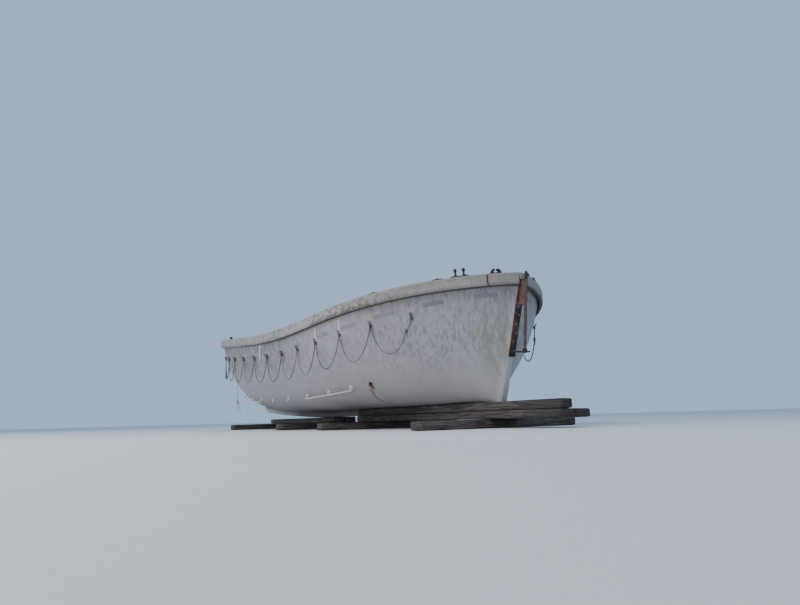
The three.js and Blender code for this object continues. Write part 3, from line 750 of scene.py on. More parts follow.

# %% [markdown]
# ## Weathered gelcoat
# The hull's outer skin is gelcoat, a thick coat of pigmented resin. Years of sun chalk it and rain draws
# dirt down from the rail in streaks. It can be painted on an image, but noise that is stretched downwards
# gives streaks at any closeness. So the finish is built in layers, mostly as it happened: a pale base,
# streaks that start at the rail and fade, grime below the rail, a darker tone under the bilge, painted shade
# along the keel's foot, green growth on the damp quarter aft, chips, and a few marks with a place of their
# own. Each layer is a mask and a colour. The height below the rail is stored on the mesh's points, because
# the sheer isn't level.

# %% Gelcoat: its colours
BASE_TONES = [(0.32, (0.295, 0.29, 0.305)), (0.5, (0.36, 0.352, 0.368)), (0.66, (0.415, 0.405, 0.412))]
SKIN = {
    "warm": (0.41, 0.397, 0.385), "streak": (0.185, 0.18, 0.185), "washed": (0.56, 0.555, 0.57),
    "grime": (0.2, 0.195, 0.195), "edge": (0.18, 0.17, 0.155), "clot": (0.17, 0.152, 0.142),
    "drawn": (0.19, 0.18, 0.182), "chalk": (0.5, 0.495, 0.51), "bilge": (0.16, 0.15, 0.138),
    "keel_shade": (0.085, 0.085, 0.095), "post": (0.5, 0.49, 0.52), "algae": (0.21, 0.22, 0.155),
    "damp": (0.33, 0.345, 0.29), "chip": (0.15, 0.145, 0.14), "speck": (0.17, 0.165, 0.16),
    "white": (0.66, 0.66, 0.67), "rust": (0.2, 0.125, 0.07),
}
print("gelcoat colours:", len(BASE_TONES) + len(SKIN))


# %% Gelcoat: what its layers read
class Gelcoat(Finish):
    """The finish with what several layers read: the place on the boat and a few noises."""

    def __init__(self):
        super().__init__("weathered gelcoat")
        self.x, y, z = self.axes()
        self.s, self.t = y + HALF_LENGTH, z - KEEL_FOOT
        self.below = self.painted("below_rail")
        self.clouds = self.noise(0.9, 5, 0.6)
        self.mottle = self.noise(14, 5, 0.62)
        self.specks = self.noise(160, 3, 0.7)
        self.narrow = self.noise(1, 4, 0.6, stretch=(30, 30, 0.75))
        self.fade = self.between(self.below, 1.35, 0.1)
        self.forward = self.between(self.s, 2.0, 3.6)
        self.aft = self.between(self.s, 1.7, 0.9)


gelcoat = Gelcoat()
gelcoat.so_far()


# %% Gelcoat: the base and the streaks in it
def gelcoat_base(skin):
    """Chalky blotches; lower down the skin is warmer than at the topsides."""
    skin.shade = skin.ramp(skin.clouds * 0.6 + skin.mottle * 0.4, BASE_TONES)
    low = skin.between(skin.below + (skin.clouds - 0.5) * 0.3, 0.45, 1.15)
    skin.lay(low * 0.55, SKIN["warm"])


def gelcoat_streaks(skin):
    """Dirt drawn down in broad soft streaks, narrower ones and hairlines, and paler washed ones."""
    broad = skin.noise(1, 4, 0.6, stretch=(7, 7, 0.5))
    hair = skin.noise(1, 3, 0.7, stretch=(120, 120, 2.6))
    streak = skin.between(broad, 0.46, 0.7) * 0.4 + skin.between(skin.narrow, 0.5, 0.68) * 0.75 * skin.fade
    streak = streak + skin.between(hair, 0.56, 0.76) * 0.3 * skin.fade
    skin.lay(streak * (0.2 + skin.fade * 0.34), SKIN["streak"])
    washed = skin.between(skin.noise(1, 4, 0.6, stretch=(19, 19, 0.9)), 0.54, 0.68) * skin.fade
    skin.lay(washed * 0.42, SKIN["washed"])
    return streak


gelcoat_base(gelcoat)
streaked = gelcoat_streaks(gelcoat)
gelcoat.so_far()


# %% Gelcoat: grime and growth
def gelcoat_grime(skin):
    """Grime that gathers under the rail and runs down from it, a darker tone under the turn of the bilge,
    and painted shade along the keel's foot.
    """
    skin.lay(skin.between(skin.below, 0.6, 0.15) * (0.17 + skin.aft * 0.2), SKIN["grime"])
    edge = skin.between(skin.below, 0.36, 0.14) * skin.between(skin.mottle + skin.narrow, 0.8, 1.15)
    skin.lay(edge * 0.5, SKIN["edge"])
    clotted = skin.between(skin.narrow * 0.55 + skin.mottle * 0.45, 0.38, 0.53)
    skin.lay(clotted * skin.between(skin.below, 0.72, 0.3) * skin.forward * 0.8, SKIN["clot"])
    drawn = skin.between(skin.narrow, 0.48, 0.6) * skin.between(skin.below, 1.15, 0.6)
    skin.lay(drawn * skin.forward.most(skin.aft) * 0.5, SKIN["drawn"])
    skin.lay(skin.forward * skin.between(skin.below, 0.5, 0.8) * 0.2, SKIN["chalk"])
    # Darker towards the bottom, under the turn of the bilge, forward of about 1 m.
    under = skin.between(skin.below, 0.95, 1.25) * skin.between(skin.s, 0.7, 1.1)
    skin.lay(under * 0.24, SKIN["bilge"])
    # Painted shade: the keel's foot and the shell just above it are darkened from 0.9 m to 6.4 m forward of
    # the stern.
    keel_shade = skin.between(skin.t + (skin.mottle - 0.5) * 0.06, 0.15, 0.06) * skin.band(skin.s, 0.9, 6.4, 0.2)
    skin.lay(keel_shade * 0.7, SKIN["keel_shade"])


def gelcoat_growth(skin):
    """Green algae on the damp quarters, but not on the sternpost's aft face, which is paler."""
    inside_edge = skin.between(abs(skin.x), HALF_BACKBONE - 0.0005, HALF_BACKBONE - 0.003)
    post = inside_edge * skin.between(skin.s, 0.5, 0.3)
    skin.lay(post * 0.35, SKIN["post"])
    damp = skin.band(skin.s, 0.13, 0.4, 0.09) * skin.band(skin.below, 0.5, 1.4, 0.2) * (1 - post)
    trails = skin.noise(1, 5, 0.65, stretch=(17, 17, 0.55))
    green = skin.between(trails * 0.85 + skin.mottle * 0.15, 0.4, 0.58)
    skin.lay(damp * green * 0.85, SKIN["algae"])
    skin.lay(damp * 0.2, SKIN["damp"])


gelcoat_grime(gelcoat)
gelcoat_growth(gelcoat)
gelcoat.so_far()

# %% Gelcoat: chips, specks and marks that have a place of their own
TORN_POST = 1.74


def line_mark(skin, start, lean, top, half_width, ends):
    """A mark that runs down the shell, where s = start + lean * (top - t)."""
    off = abs(skin.s - start - (top - skin.t) * lean)
    return skin.between(off, half_width, half_width * 0.3) * skin.band(skin.t, *ends, 0.03)


def gelcoat_marks(skin):
    """Chips and specks; to port, white streaks below the rail and a rust streak below the torn post."""
    chips = skin.between(skin.cells(38, stretch=(1, 1, 0.8)), 0.09, 0.05)
    skin.lay(chips * skin.between(skin.clouds, 0.5, 0.62) * 0.6, SKIN["chip"])
    skin.lay(skin.between(skin.specks, 0.6, 0.78) * 0.3, SKIN["speck"])
    port = skin.between(skin.x, 0.0, -0.1) * skin.painted("outside")
    white = line_mark(skin, 4.143, 0.41, 1.107, 0.035, (0.9, 1.12))
    for lug in LUGS["port"][2:4]:
        foot = sheer(lug) - LUG_BELOW
        white = white.most(line_mark(skin, lug, 0.12, foot, 0.022, (foot - 0.02, foot + 0.2)) * 0.7)
    skin.lay(white * port * (0.65 + skin.mottle * 0.6), SKIN["white"])
    rust = line_mark(skin, TORN_POST - 0.005, 1.3, 0.395, 0.03, (0.15, 0.36)) * port
    skin.lay(rust * (0.35 + skin.mottle * 0.8), SKIN["rust"])


gelcoat_marks(gelcoat)
gelcoat.so_far()

# %% Gelcoat: its relief and gloss
fair = gelcoat.noise(2.2, 3, 0.5) * 0.6 + gelcoat.noise(8, 3) * 0.12
peel = gelcoat.bump(gelcoat.mottle * 0.6 + gelcoat.specks * 0.4, 0.0012, 0.5)
rough = (0.55 + gelcoat.mottle * 0.2 + streaked * 0.1).least(0.9)
GELCOAT = gelcoat.surface(Roughness=rough, Normal=gelcoat.bump(fair, 0.012, 0.6, over=peel))

# %% [markdown]
# ## The shell
# The boat's shell is moulded in glass-reinforced plastic, about 20 mm thick. A subdivided block could be
# pushed into shape, but the lines are known exactly, so the shell is lofted from them: 161 sections, each
# a ring that runs up the starboard side, down its inside, up the inside to port and down the outside. The
# ends are closed by a narrow strip up each post.

# %% The outside of one half as a grid of points
STATIONS = 160
ROWS = 46
ROW_POWER = 1.5


def stations(count):
    """Shares of the length from stern to bow, close together at both ends."""
    return [(1 - math.cos(math.pi * i / count)) / 2 for i in range(count + 1)]


def shell_grid():
    levels = [(j / ROWS) ** ROW_POWER for j in range(ROWS + 1)]
    grid = []
    for share in stations(STATIONS):
        low, high = bottom_of(share), top_of(share) - RAIL_CAP
        grid.append([shell_point(share, lerp(low, high, level)) for level in levels])
    return np.array(grid)


print("one half of the skin:", shell_grid().shape[:2], "points")

# %% The hollow corner at the sternpost
# The moulding runs into the sternpost's side with a hollow fillet, not with a sharp corner
FILLET = {"stations": 7, "aft": 0.03, "corner": 0.012, "proud": 0.0006}


def arc(start, corner, stop, part):
    """A point on the curve that leaves start towards the corner and comes from the corner to stop."""
    return (1 - part) ** 2 * start + 2 * part * (1 - part) * corner + part ** 2 * stop


def hollow_corner(grid):
    """Bends the first stations into an arc from the post's side to the skin."""
    count = FILLET["stations"]
    for row in range(ROWS + 1):
        corner = grid[0, row] + [FILLET["proud"], FILLET["corner"], 0]
        start = grid[0, row] + [FILLET["proud"], -FILLET["aft"], 0]
        for k in range(count):
            grid[k, row] = arc(start, corner, grid[count, row], k / count)
    return grid


outer = hollow_corner(shell_grid())
print("the fillet starts at", outer[0, 0].round(3), "and ends at", outer[FILLET["stations"], 0].round(3))

# %% The inside, one thickness in from the outside
LEAST_HALF_INSIDE = 0.012

normals = np.cross(np.gradient(outer, axis=0), np.gradient(outer, axis=1))
normals /= np.maximum(np.linalg.norm(normals, axis=2), 1e-9)[:, :, None]
normals[0], normals[-1] = (0, -1, 0), (0, 1, 0)
inner = outer - SHELL * normals
inner[:, -1, 2] = outer[:, -1, 2]
inner[:, :, 0] = np.maximum(inner[:, :, 0], LEAST_HALF_INSIDE)
inner[0, :, 0] = inner[-1, :, 0] = HALF_BACKBONE - SHELL
print("widest inside:", round(2 * inner[:, :, 0].max(), 3), "m")


# %% The shell as one mesh, with numbers on its points
def paint_points(piece, name, values):
    """Stores one number for each point of a mesh, for a material to read."""
    layer = piece.data.attributes.new(name, "FLOAT", "POINT")
    layer.data.foreach_set("value", [float(value) for value in values])


def below_rail(piece):
    """Stores how far each point lies below the rail's top."""
    points = [point.co for point in piece.data.vertices]
    paint_points(piece, "below_rail", [sheer(p.y + HALF_LENGTH) + KEEL_FOOT - p.z for p in points])


ONE_SIDE = ROWS + 1
RINGS = [np.concatenate([skin, within[::-1], mirror(within), mirror(skin)[::-1]])
         for skin, within in zip(outer, inner)]


def end_strips(count, around):
    """Faces across the first and the last ring, from its starboard half to its port half."""
    faces = []
    for first in (0, (count - 1) * around):
        for j in range(ROWS):
            for near, far in ((j, around - 1 - j), (2 * ROWS + 1 - j, 2 * ROWS + 2 + j)):
                step = 1 if near < ROWS else -1
                faces.append([first + near, first + near + step, first + far - step, first + far])
    return faces


shell_points, shell_faces = loft(RINGS, caps=False)
shell_faces += end_strips(len(RINGS), len(RINGS[0]))
shell = outwards(new_piece("shell", shell_points, shell_faces, GELCOAT, "gelcoat",
                           ["hull_starboard", "hull_port"]))
below_rail(shell)
paint_points(shell, "outside", ([1] * ONE_SIDE + [0] * 2 * ONE_SIDE + [1] * ONE_SIDE) * len(RINGS))

# %% [markdown]
# ## Reflective tape
# Short strips of reflective tape follow the rail on both sides, so that a searchlight finds the boat. The
# glass beads have worn off and left them dull blue grey. A strip could be colour on the shell, but as a
# thin solid that lies on the skin it has an edge, also in views from close by.

# %% Tape finish
def tape_finish():
    finish = Finish("worn tape")
    wear = finish.noise(150, 4, 0.7)
    faded = finish.noise(3, 3, 0.5)
    _, y, _ = finish.axes()
    finish.shade = finish.mix(finish.between(faded, 0.35, 0.65), (0.185, 0.182, 0.2), (0.24, 0.235, 0.252))
    # The aftmost strips are darker, and those from amidships forward are paler
    finish.lay(finish.between(y, -2.6, -0.6) * 0.6, (0.285, 0.278, 0.285))
    finish.lay(finish.between(y, -3.6, -3.9) * 0.45, (0.12, 0.118, 0.135))
    finish.lay(wear * 0.25, (0.34, 0.335, 0.345))
    beads = finish.bump(finish.cells(900) + wear, 0.0006, 0.5)
    return finish.surface(Roughness=0.45 + wear * 0.35, Normal=beads)


TAPE = tape_finish()

# %% Tape strips
TAPES = [(0.161, 0.305), (0.516, 0.685), (0.962, 1.205), (1.466, 1.715), (1.963, 2.199)]
TAPES += [(0.55 * k - 0.12, 0.55 * k + 0.12) for k in range(5, 15)]
TAPE_HALF, TAPE_BED, TAPE_FACE = 0.024, -0.002, 0.0012
TAPE_EDGES = [(TAPE_HALF, TAPE_BED), (-TAPE_HALF, TAPE_BED), (-TAPE_HALF, TAPE_FACE), (TAPE_HALF, TAPE_FACE)]
TAPE_LINE = {"below": 0.29, "climb": 0.075, "climbs_aft_of": 1.6}


def tape_strip(start, stop):
    """A thin bar on the skin; the strips' line climbs a little towards the stern."""
    rings = []
    for s in np.linspace(start, stop, 10):
        climb = TAPE_LINE["climb"] * max(0, 1 - s / TAPE_LINE["climbs_aft_of"])
        middle = sheer(s) - TAPE_LINE["below"] + climb
        levels = [(middle + up, proud) for up, proud in TAPE_EDGES]
        rings.append([shell_side(s, t) + shell_normal(s, t) * proud for t, proud in levels])
    return loft(rings)


for side, turn in SIDES.items():
    points, faces = joined([tape_strip(*ends) for ends in TAPES])
    outwards(new_piece(f"reflective_tape_{side}", turn(points), faces, TAPE, "gelcoat", smooth=False))
print("tape strips on each side:", len(TAPES))

# %% [markdown]
# ## The rail
# A thick belt of moulding caps the shell's edge and takes the knocks alongside. A curve with a bevel
# outline would do for most of it, but at the stern the rail is cut back round the steel facing. So it is a
# loft: one section carried round the sheer, closed on itself at bow and stern. Its section is the CAD
# section with its corners rounded off.

# %% Rounded outlines
def rounded(outline, radius, steps=4):
    """A closed outline with each corner replaced by an arc; radius is one number or one for each corner."""
    outline = np.asarray(outline, float)
    radii = np.broadcast_to(radius, len(outline))
    points = []
    for k, corner in enumerate(outline):
        before = outline[k - 1] - corner
        after = outline[(k + 1) % len(outline)] - corner
        reach = min(radii[k], 0.49 * np.linalg.norm(before), 0.49 * np.linalg.norm(after))
        start, stop = corner + unit(before) * reach, corner + unit(after) * reach
        points.extend(arc(start, corner, stop, part) for part in np.linspace(0, 1, steps + 1))
    return np.array(points)


# Each corner of the rail's section: out from the shell's edge, up from it, and the corner's radius
RAIL_CORNERS = np.array([
    (-0.09, 0.0003, 0.002), (-0.09, RAIL_CAP, 0.012), (0.03, RAIL_CAP, 0.02), (RAIL_PROUD, 0.004, 0.02),
    (RAIL_PROUD, -0.055, 0.0002), (RAIL_PROUD, -0.056, 0.0002), (RAIL_PROUD, -0.095, 0.016),
    (0.036, -0.122, 0.012), (0.002, -0.125, 0.003), (0.001, 0.0003, 0.001)])
RAIL_SECTION = rounded(RAIL_CORNERS[:, :2], RAIL_CORNERS[:, 2])
print("the rail's section has", len(RAIL_SECTION), "points")

# %% Rail finish: its colours
RAIL_TONES = [(0.36, (0.15, 0.138, 0.128)), (0.45, (0.245, 0.233, 0.226)), (0.53, (0.32, 0.31, 0.31)),
              (0.64, (0.41, 0.4, 0.405))]
BELT = {
    "film": (0.32, 0.325, 0.26), "stern": (0.225, 0.205, 0.185), "chalk": (0.5, 0.49, 0.5),
    "pink": (0.46, 0.37, 0.34), "brown": (0.19, 0.155, 0.125), "pits": (0.105, 0.088, 0.078),
    "clots": (0.1, 0.086, 0.075), "runs": (0.2, 0.19, 0.17), "ochre": (0.3, 0.24, 0.165),
    "orange": (0.32, 0.16, 0.07), "rail_foot_shade": (0.075, 0.07, 0.065), "grit": (0.2, 0.185, 0.17),
    "weep": (0.27, 0.15, 0.07), "joint": (0.02, 0.018, 0.016),
}
RAIL_JOINT = 0.137
print("rail colours:", len(RAIL_TONES) + len(BELT))


# %% Rail finish: what its layers read
class Belt(Finish):
    """The rail's finish with what several layers read."""

    def __init__(self):
        super().__init__("weathered rail")
        self.x, y, _ = self.axes()
        self.s = y + HALF_LENGTH
        self.below = self.painted("below_rail")
        self.mottle = self.noise(11, 6, 0.7)
        self.grit = self.noise(120, 4, 0.7)
        self.pink = self.between(self.noise(2.3, 4, 0.6, stretch=(1, 1, 2.5)), 0.52, 0.66)
        self.midway = self.band(self.s, 1.0, 2.2, 0.3)


rail_coat = Belt()
rail_coat.so_far()


# %% Rail finish: base and dirt
def rail_base(belt):
    """Mottled; the top band keeps a green film near the stern, and the face below it is chalkier."""
    belt.shade = belt.ramp(belt.noise(1.6, 5, 0.65) * 0.45 + belt.mottle * 0.55, RAIL_TONES)
    top_band = belt.between(belt.below + (belt.mottle - 0.5) * 0.03, 0.045, 0.03)
    belt.lay(top_band * belt.between(belt.s, 2.6, 0.9) * 0.55, BELT["film"])
    belt.lay(belt.between(belt.s, 1.4, 0.4) * 0.65, BELT["stern"])
    belt.lay(belt.band(belt.below, 0.05, 0.11, 0.015) * 0.15, BELT["chalk"])
    belt.lay(belt.pink * 0.35, BELT["pink"])


def rail_dirt(belt):
    """Dirt has settled everywhere a little, and in worn patches amidships."""
    worn = belt.midway * 0.6 + 0.4
    brown = belt.between(belt.noise(6, 6, 0.78, stretch=(1, 1, 2)), 0.49, 0.6)
    belt.lay(brown * worn * 0.6, BELT["brown"])
    pits = belt.between(belt.noise(30, 4, 0.75), 0.52, 0.62)
    belt.lay(pits * worn * 0.85, BELT["pits"])
    clots = belt.between(belt.noise(16, 5, 0.75, stretch=(1, 1, 1.4)) + belt.below * 1.4, 0.6, 0.7)
    belt.lay(clots * belt.midway * 0.75, BELT["clots"])
    runs = belt.between(belt.noise(1, 5, 0.7, stretch=(45, 45, 2)), 0.56, 0.74)
    belt.lay(runs * 0.35, BELT["runs"])


rail_base(rail_coat)
rail_dirt(rail_coat)
rail_coat.so_far()


# %% Rail finish: stains and joints
def rail_stains(belt):
    """Ochre and orange at the stern, and a dark line along the rail's foot: its joint with the shell, with
    painted shade from the rail's underside.
    """
    ochre = belt.between(belt.noise(1, 5, 0.7, stretch=(7, 7, 22)), 0.47, 0.6)
    ochre = ochre * belt.band(belt.below, 0.035, 0.1, 0.02) * belt.between(belt.s, 0.9, 0.2)
    belt.lay(ochre * 0.6, BELT["ochre"])
    orange = belt.between(belt.noise(13, 5, 0.75), 0.62, 0.7) * belt.band(belt.s, 0.05, 0.6, 0.15)
    belt.lay(orange * 0.7, BELT["orange"])
    # Painted shade: a dark line along the rail's foot, where the rail's underside shades it, over the joint
    # with the shell.
    rail_foot_shade = belt.between(belt.below, 0.135, 0.143) * (0.75 + belt.mottle * 0.4)
    belt.lay(rail_foot_shade.least(0.92), BELT["rail_foot_shade"])
    belt.lay(belt.between(belt.grit, 0.56, 0.72) * 0.4, BELT["grit"])


def rail_joint(belt):
    """A joint in the moulding to port, open and weeping rust."""
    port = belt.between(belt.x, 0.0, -0.02)
    weep = belt.between(abs(belt.s - RAIL_JOINT + 0.006 + (belt.mottle - 0.5) * 0.03), 0.015, 0.004) * port
    belt.lay(weep * (0.35 + belt.pink * 0.4), BELT["weep"])
    joint = belt.between(abs(belt.s - RAIL_JOINT + (belt.mottle - 0.5) * 0.02), 0.0048, 0.0028) * port
    belt.lay(joint, BELT["joint"])
    return joint


rail_stains(rail_coat)
open_joint = rail_joint(rail_coat)
rail_coat.so_far()

# %% Rail finish: its relief and gloss
pits = rail_coat.bump(rail_coat.mottle * 0.7 + rail_coat.grit * 0.3 - open_joint, 0.003, 0.6)
RAIL_FINISH = rail_coat.surface(Roughness=0.75 + rail_coat.grit * 0.15, Normal=pits)

# %% The rail's line, seen from above
# The rail rounds the stern in an arc: up to this share of the length it leaves the sections' corner
STERN_ARC = 0.006
# The line's direction is measured in steps of these shares, in the arc and beyond it
ARC_STEP, LINE_STEP = 5e-4, 2e-3


def rail_edge(share):
    return shell_point(share, top_of(share) - RAIL_CAP)


def rail_seat_at(share):
    if share == 1:
        return rail_edge(1) * [0, 1, 1]
    if share >= STERN_ARC:
        return rail_edge(share)
    corner = shell_point(0, top_of(share) - RAIL_CAP)
    return arc(corner * [0, 1, 1], corner, rail_edge(STERN_ARC), share / STERN_ARC)


def plan_normal(share):
    """The level way out of the rail's line at a share of the length."""
    if share <= 0:
        return np.array([0, -1, 0])
    if share >= 1:
        return np.array([0, 1, 0])
    step = min(ARC_STEP if share < 2 * STERN_ARC else LINE_STEP, share / 2, (1 - share) / 2)
    along = rail_seat_at(share + step) - rail_seat_at(share - step)
    return unit([along[1], -along[0], 0])


print("the rail's line amidships:", rail_seat_at(0.5).round(3), "facing", plan_normal(0.5).round(3))

# %% The recess round the facing
# The rail is cut back at the stern, so that the steel facing lies on the post and not on the rail
FACING = {"from": 0.6, "to": 1.44, "thick": 0.022, "width": 0.084}
FACING_CLEAR = 0.0006


def cut_back(ring):
    """Pushes a ring's points below the facing's top forward to the sternpost's line."""
    for point in ring:
        t = point[2] - KEEL_FOOT
        if t < FACING["to"]:
            point[1] = max(point[1], post_aft(t) - HALF_LENGTH)
    return ring


def facing_share():
    """The share at which the rail's face leaves the facing's edge."""
    marks = np.linspace(0, STERN_ARC, 600)
    reach = [(rail_seat_at(share) + plan_normal(share) * RAIL_PROUD)[0] for share in marks]
    return marks[np.searchsorted(reach, FACING["width"] / 2 + FACING_CLEAR)]


print("the recess ends at a share of", round(facing_share(), 6))

# %% Rail, swept round the sheer
RAIL_STATIONS = 200
# The recess ends between two rings this far to each side of its edge, so its side is square
RECESS_SIDE = 2e-6


def rail_rings():
    edge = facing_share()
    rings = []
    for share in sorted([*stations(RAIL_STATIONS), edge - RECESS_SIDE, edge + RECESS_SIDE]):
        seat, out = rail_seat_at(share), plan_normal(share)
        ring = [seat + out * reach + [0, 0, up] for reach, up in RAIL_SECTION]
        rings.append(cut_back(ring) if share < edge else ring)
    rings = np.array(rings)
    rings[:, :, 0] = np.maximum(rings[:, :, 0], 0)
    return np.concatenate([rings, mirror(rings[1:-1])[::-1]])


rail = outwards(new_piece("rail", *loft(rail_rings(), path_closed=True), RAIL_FINISH, "rail",
                          ["rail_starboard", "rail_port"]))
below_rail(rail)

# %% [markdown]
# ## The backbone
# The sternpost, keel and stem make one line round the boat's centre. In plastic boats they are moulded
# with the shell, so their outer corners are rounded. Three bars could be joined at their ends, but one
# loft follows the line without a seam: at each place there is a point on the outer edge and one on the
# edge that meets the shell.

# %% The backbone's line, as pairs of (s, t): its outer edge and its edge at the shell
LAP = 0.004


def post_pairs():
    for t in np.linspace(top_of(0) - RAIL_DEPTH, KEEL_DEPTH + 0.02, 30):
        yield (post_aft(t), t), (shell_aft(t) + LAP, t)


def heel_pairs():
    yield (post_aft(0.05), 0.05), (shell_aft(KEEL_DEPTH), KEEL_DEPTH + LAP)
    yield (post_aft(0) + 0.006, 0.006), (0.5, KEEL_DEPTH + LAP)


def keel_pairs():
    for s in np.linspace(0.53, STEM["at"] - 0.03, 70):
        yield (s, keel_rise(s)), (s, keel_rise(s) + KEEL_DEPTH + LAP)


def stem_pairs():
    top = top_of(1) - RAIL_DEPTH
    foot = KEEL["rise"]
    for part in np.linspace(0, 1, 40) ** 2:
        t, inner_t = lerp(foot, top, part), lerp(STEM["from"], top, part)
        high = max(0, t - foot) / (STEM["high"] + KEEL_DEPTH)
        reach = (STEM["reach"] + STEM_DEPTH) * high ** STEM["power"]
        yield (STEM["at"] + reach, t), (shell_forward(inner_t) - LAP, inner_t)


backbone_line = [*post_pairs(), *heel_pairs(), *keel_pairs(), *stem_pairs()]
print("places along the backbone:", len(backbone_line))

# %% Backbone
BACKBONE_CORNER = 0.014


def backbone_ring(outer_edge, inner_edge):
    """A section with two rounded outer corners, from port to starboard."""
    outer_edge, inner_edge = np.array(outer_edge), np.array(inner_edge)
    inward = unit(inner_edge - outer_edge)
    half = []
    for angle in np.linspace(0, math.pi / 2, 5):
        across = HALF_BACKBONE - BACKBONE_CORNER + BACKBONE_CORNER * math.sin(angle)
        half.append((across, BACKBONE_CORNER * (1 - math.cos(angle))))
    half.append((HALF_BACKBONE, float(np.linalg.norm(inner_edge - outer_edge))))
    ring = [(x, *(outer_edge + inward * deep)) for x, deep in half]
    ring += [(-x, s, t) for x, s, t in reversed(ring)]
    return [(x, s - HALF_LENGTH, t + KEEL_FOOT) for x, s, t in ring]


backbone = outwards(new_piece("backbone", *loft([backbone_ring(*pair) for pair in backbone_line]),
                              GELCOAT, "gelcoat", ["sternpost", "keel", "stem"]))
below_rail(backbone)

# %% [markdown]
# ## Rusted steel
# Old steel goes through stages: sound paint, then orange bloom, then dark scale that flakes. One noise
# can't show that, so the finish stacks three: a broad one chooses the stage, a middle one gives orange
# blooms and the finest one the grain of the scale.

# %% Steel finishes
def rusted_finish(name, dark, brown, orange, left_paint=None):
    finish = Finish(name)
    stage = finish.noise(7, 5, 0.65)
    bloom = finish.noise(34, 5, 0.7)
    grain = finish.noise(260, 4, 0.75)
    finish.shade = finish.ramp(stage * 0.4 + bloom * 0.6, [(0.36, dark), (0.5, brown), (0.62, orange)])
    finish.lay(finish.between(grain, 0.5, 0.75) * 0.5, darker(dark, 0.5))
    height = bloom * 0.6 + grain * 0.4
    if left_paint:
        kept = finish.between(finish.noise(16, 6, 0.7) + (stage - 0.5) * 0.4, 0.84, 0.78)
        finish.lay(kept, finish.mix(grain * 0.4, left_paint, darker(left_paint, 0.7)))
        height = height + kept * 0.5
    scale = finish.bump(height, 0.0025, 0.8)
    return finish.surface(Roughness=0.7 + grain * 0.2, Metallic=0.12, Normal=scale)


RUST = rusted_finish("rusted steel", (0.035, 0.02, 0.018), (0.14, 0.05, 0.03), (0.3, 0.105, 0.045))
SCALED_STEEL = rusted_finish("scaled steel", (0.008, 0.006, 0.007), (0.035, 0.02, 0.02),
                             (0.17, 0.065, 0.045))
BROWN_STEEL = rusted_finish("brown steel", (0.075, 0.04, 0.035), (0.14, 0.068, 0.055), (0.22, 0.11, 0.08))
ROD_STEEL = rusted_finish("olive brown steel", (0.05, 0.036, 0.033), (0.105, 0.066, 0.056),
                          (0.18, 0.088, 0.072))
BLACK_STEEL = rusted_finish("black steel", (0.01, 0.011, 0.014), (0.024, 0.023, 0.026),
                            (0.045, 0.033, 0.031))
PALE_BOLT = rusted_finish("scraped bolt", (0.07, 0.045, 0.042), (0.15, 0.105, 0.095), (0.26, 0.2, 0.18))
WHITE_PAINT = rusted_finish("white paint over steel", (0.12, 0.06, 0.035), (0.22, 0.1, 0.05),
                            (0.3, 0.15, 0.08), left_paint=(0.61, 0.6, 0.595))

# %% [markdown]
# ## Small solid shapes
# Bolts, plates and knobs are turned or flat shapes. Blender's cylinders and cubes with a bevel would do
# for some, but most have a profile of their own. A turned one is a lathe: a line of radii and heights
# spun about an axis. A flat one is an outline given a thickness. Both are placed by a matrix.

# %% Turned and flat shapes
# The middle of a turned shape is closed by a ring this small
PINPOINT = 0.0001


def turned(profile, matrix, sides=24):
    """A profile of (radius, height) spun about the matrix's own Z."""
    angles = even_angles(sides)
    rings = [[matrix @ Vector((r * math.cos(a), r * math.sin(a), h)) for a in angles] for r, h in profile]
    return loft(rings)


def plate(outline, low, high, matrix, edge=0.002):
    """An outline of (x, y) points between two heights, its rim eased by a small chamfer."""
    outline = np.asarray(outline, float)
    middle = outline.mean(axis=0)
    pulled = outline - edge * np.array([unit(p - middle) for p in outline])
    levels = [(pulled, low), (outline, low + edge), (outline, high - edge), (pulled, high)]
    rings = [[matrix @ Vector((x, y, z)) for x, y in flat] for flat, z in levels]
    return loft(rings)


def rectangle(width, long):
    w, d = width / 2, long / 2
    return [(-w, -d), (w, -d), (w, d), (-w, d)]


print("a plate with eased rims has", len(plate(rectangle(1, 1), 0, 0.1, Matrix())[1]), "faces")


# %% Bolts, and a frame to place things by
def bolt(matrix, radius, high):
    """A hexagon head on a washer."""
    washer = [(PINPOINT, 0), (radius * 1.7, 0), (radius * 1.7, 0.002), (PINPOINT, 0.002)]
    head = [(PINPOINT, 0.001), (radius, 0.001), (radius, high * 0.8), (radius * 0.8, high), (PINPOINT, high)]
    return joined([turned(washer, matrix, 16), turned(head, matrix, 6)])


def frame_from(x, y, z, origin):
    """A matrix with these three axes."""
    axes = Matrix((Vector(x), Vector(y), Vector(z))).transposed()
    return Matrix.Translation(Vector(origin)) @ axes.to_4x4()


print("a bolt has", len(bolt(Matrix(), 0.006, 0.005)[1]), "faces")

# %% [markdown]
# ## Rudder hangings
# The rudder is gone, but its gear is still on the sternpost: a long steel facing, a heavy bracket at the
# top, a round rod that leans away from the post and a small bracket at its foot. The post is curved, so a
# flat plate would stand off it. The facing is therefore a loft that follows the post. Its bolts have been
# scraped pale, which is what shows most from a distance.

# %% Facing and its bolts
def post_matrix(t, proud=0.0):
    """A frame on the sternpost's aft face: X across, Y up the post, Z out of it."""
    feel = 0.01
    slope = unit([0, post_aft(t + feel) - post_aft(t - feel), 2 * feel])
    out = unit(np.cross([1, 0, 0], slope))
    spot = np.array([0, post_aft(t) - HALF_LENGTH, t + KEEL_FOOT]) + out * proud
    return frame_from(np.cross(slope, out), slope, out, spot)


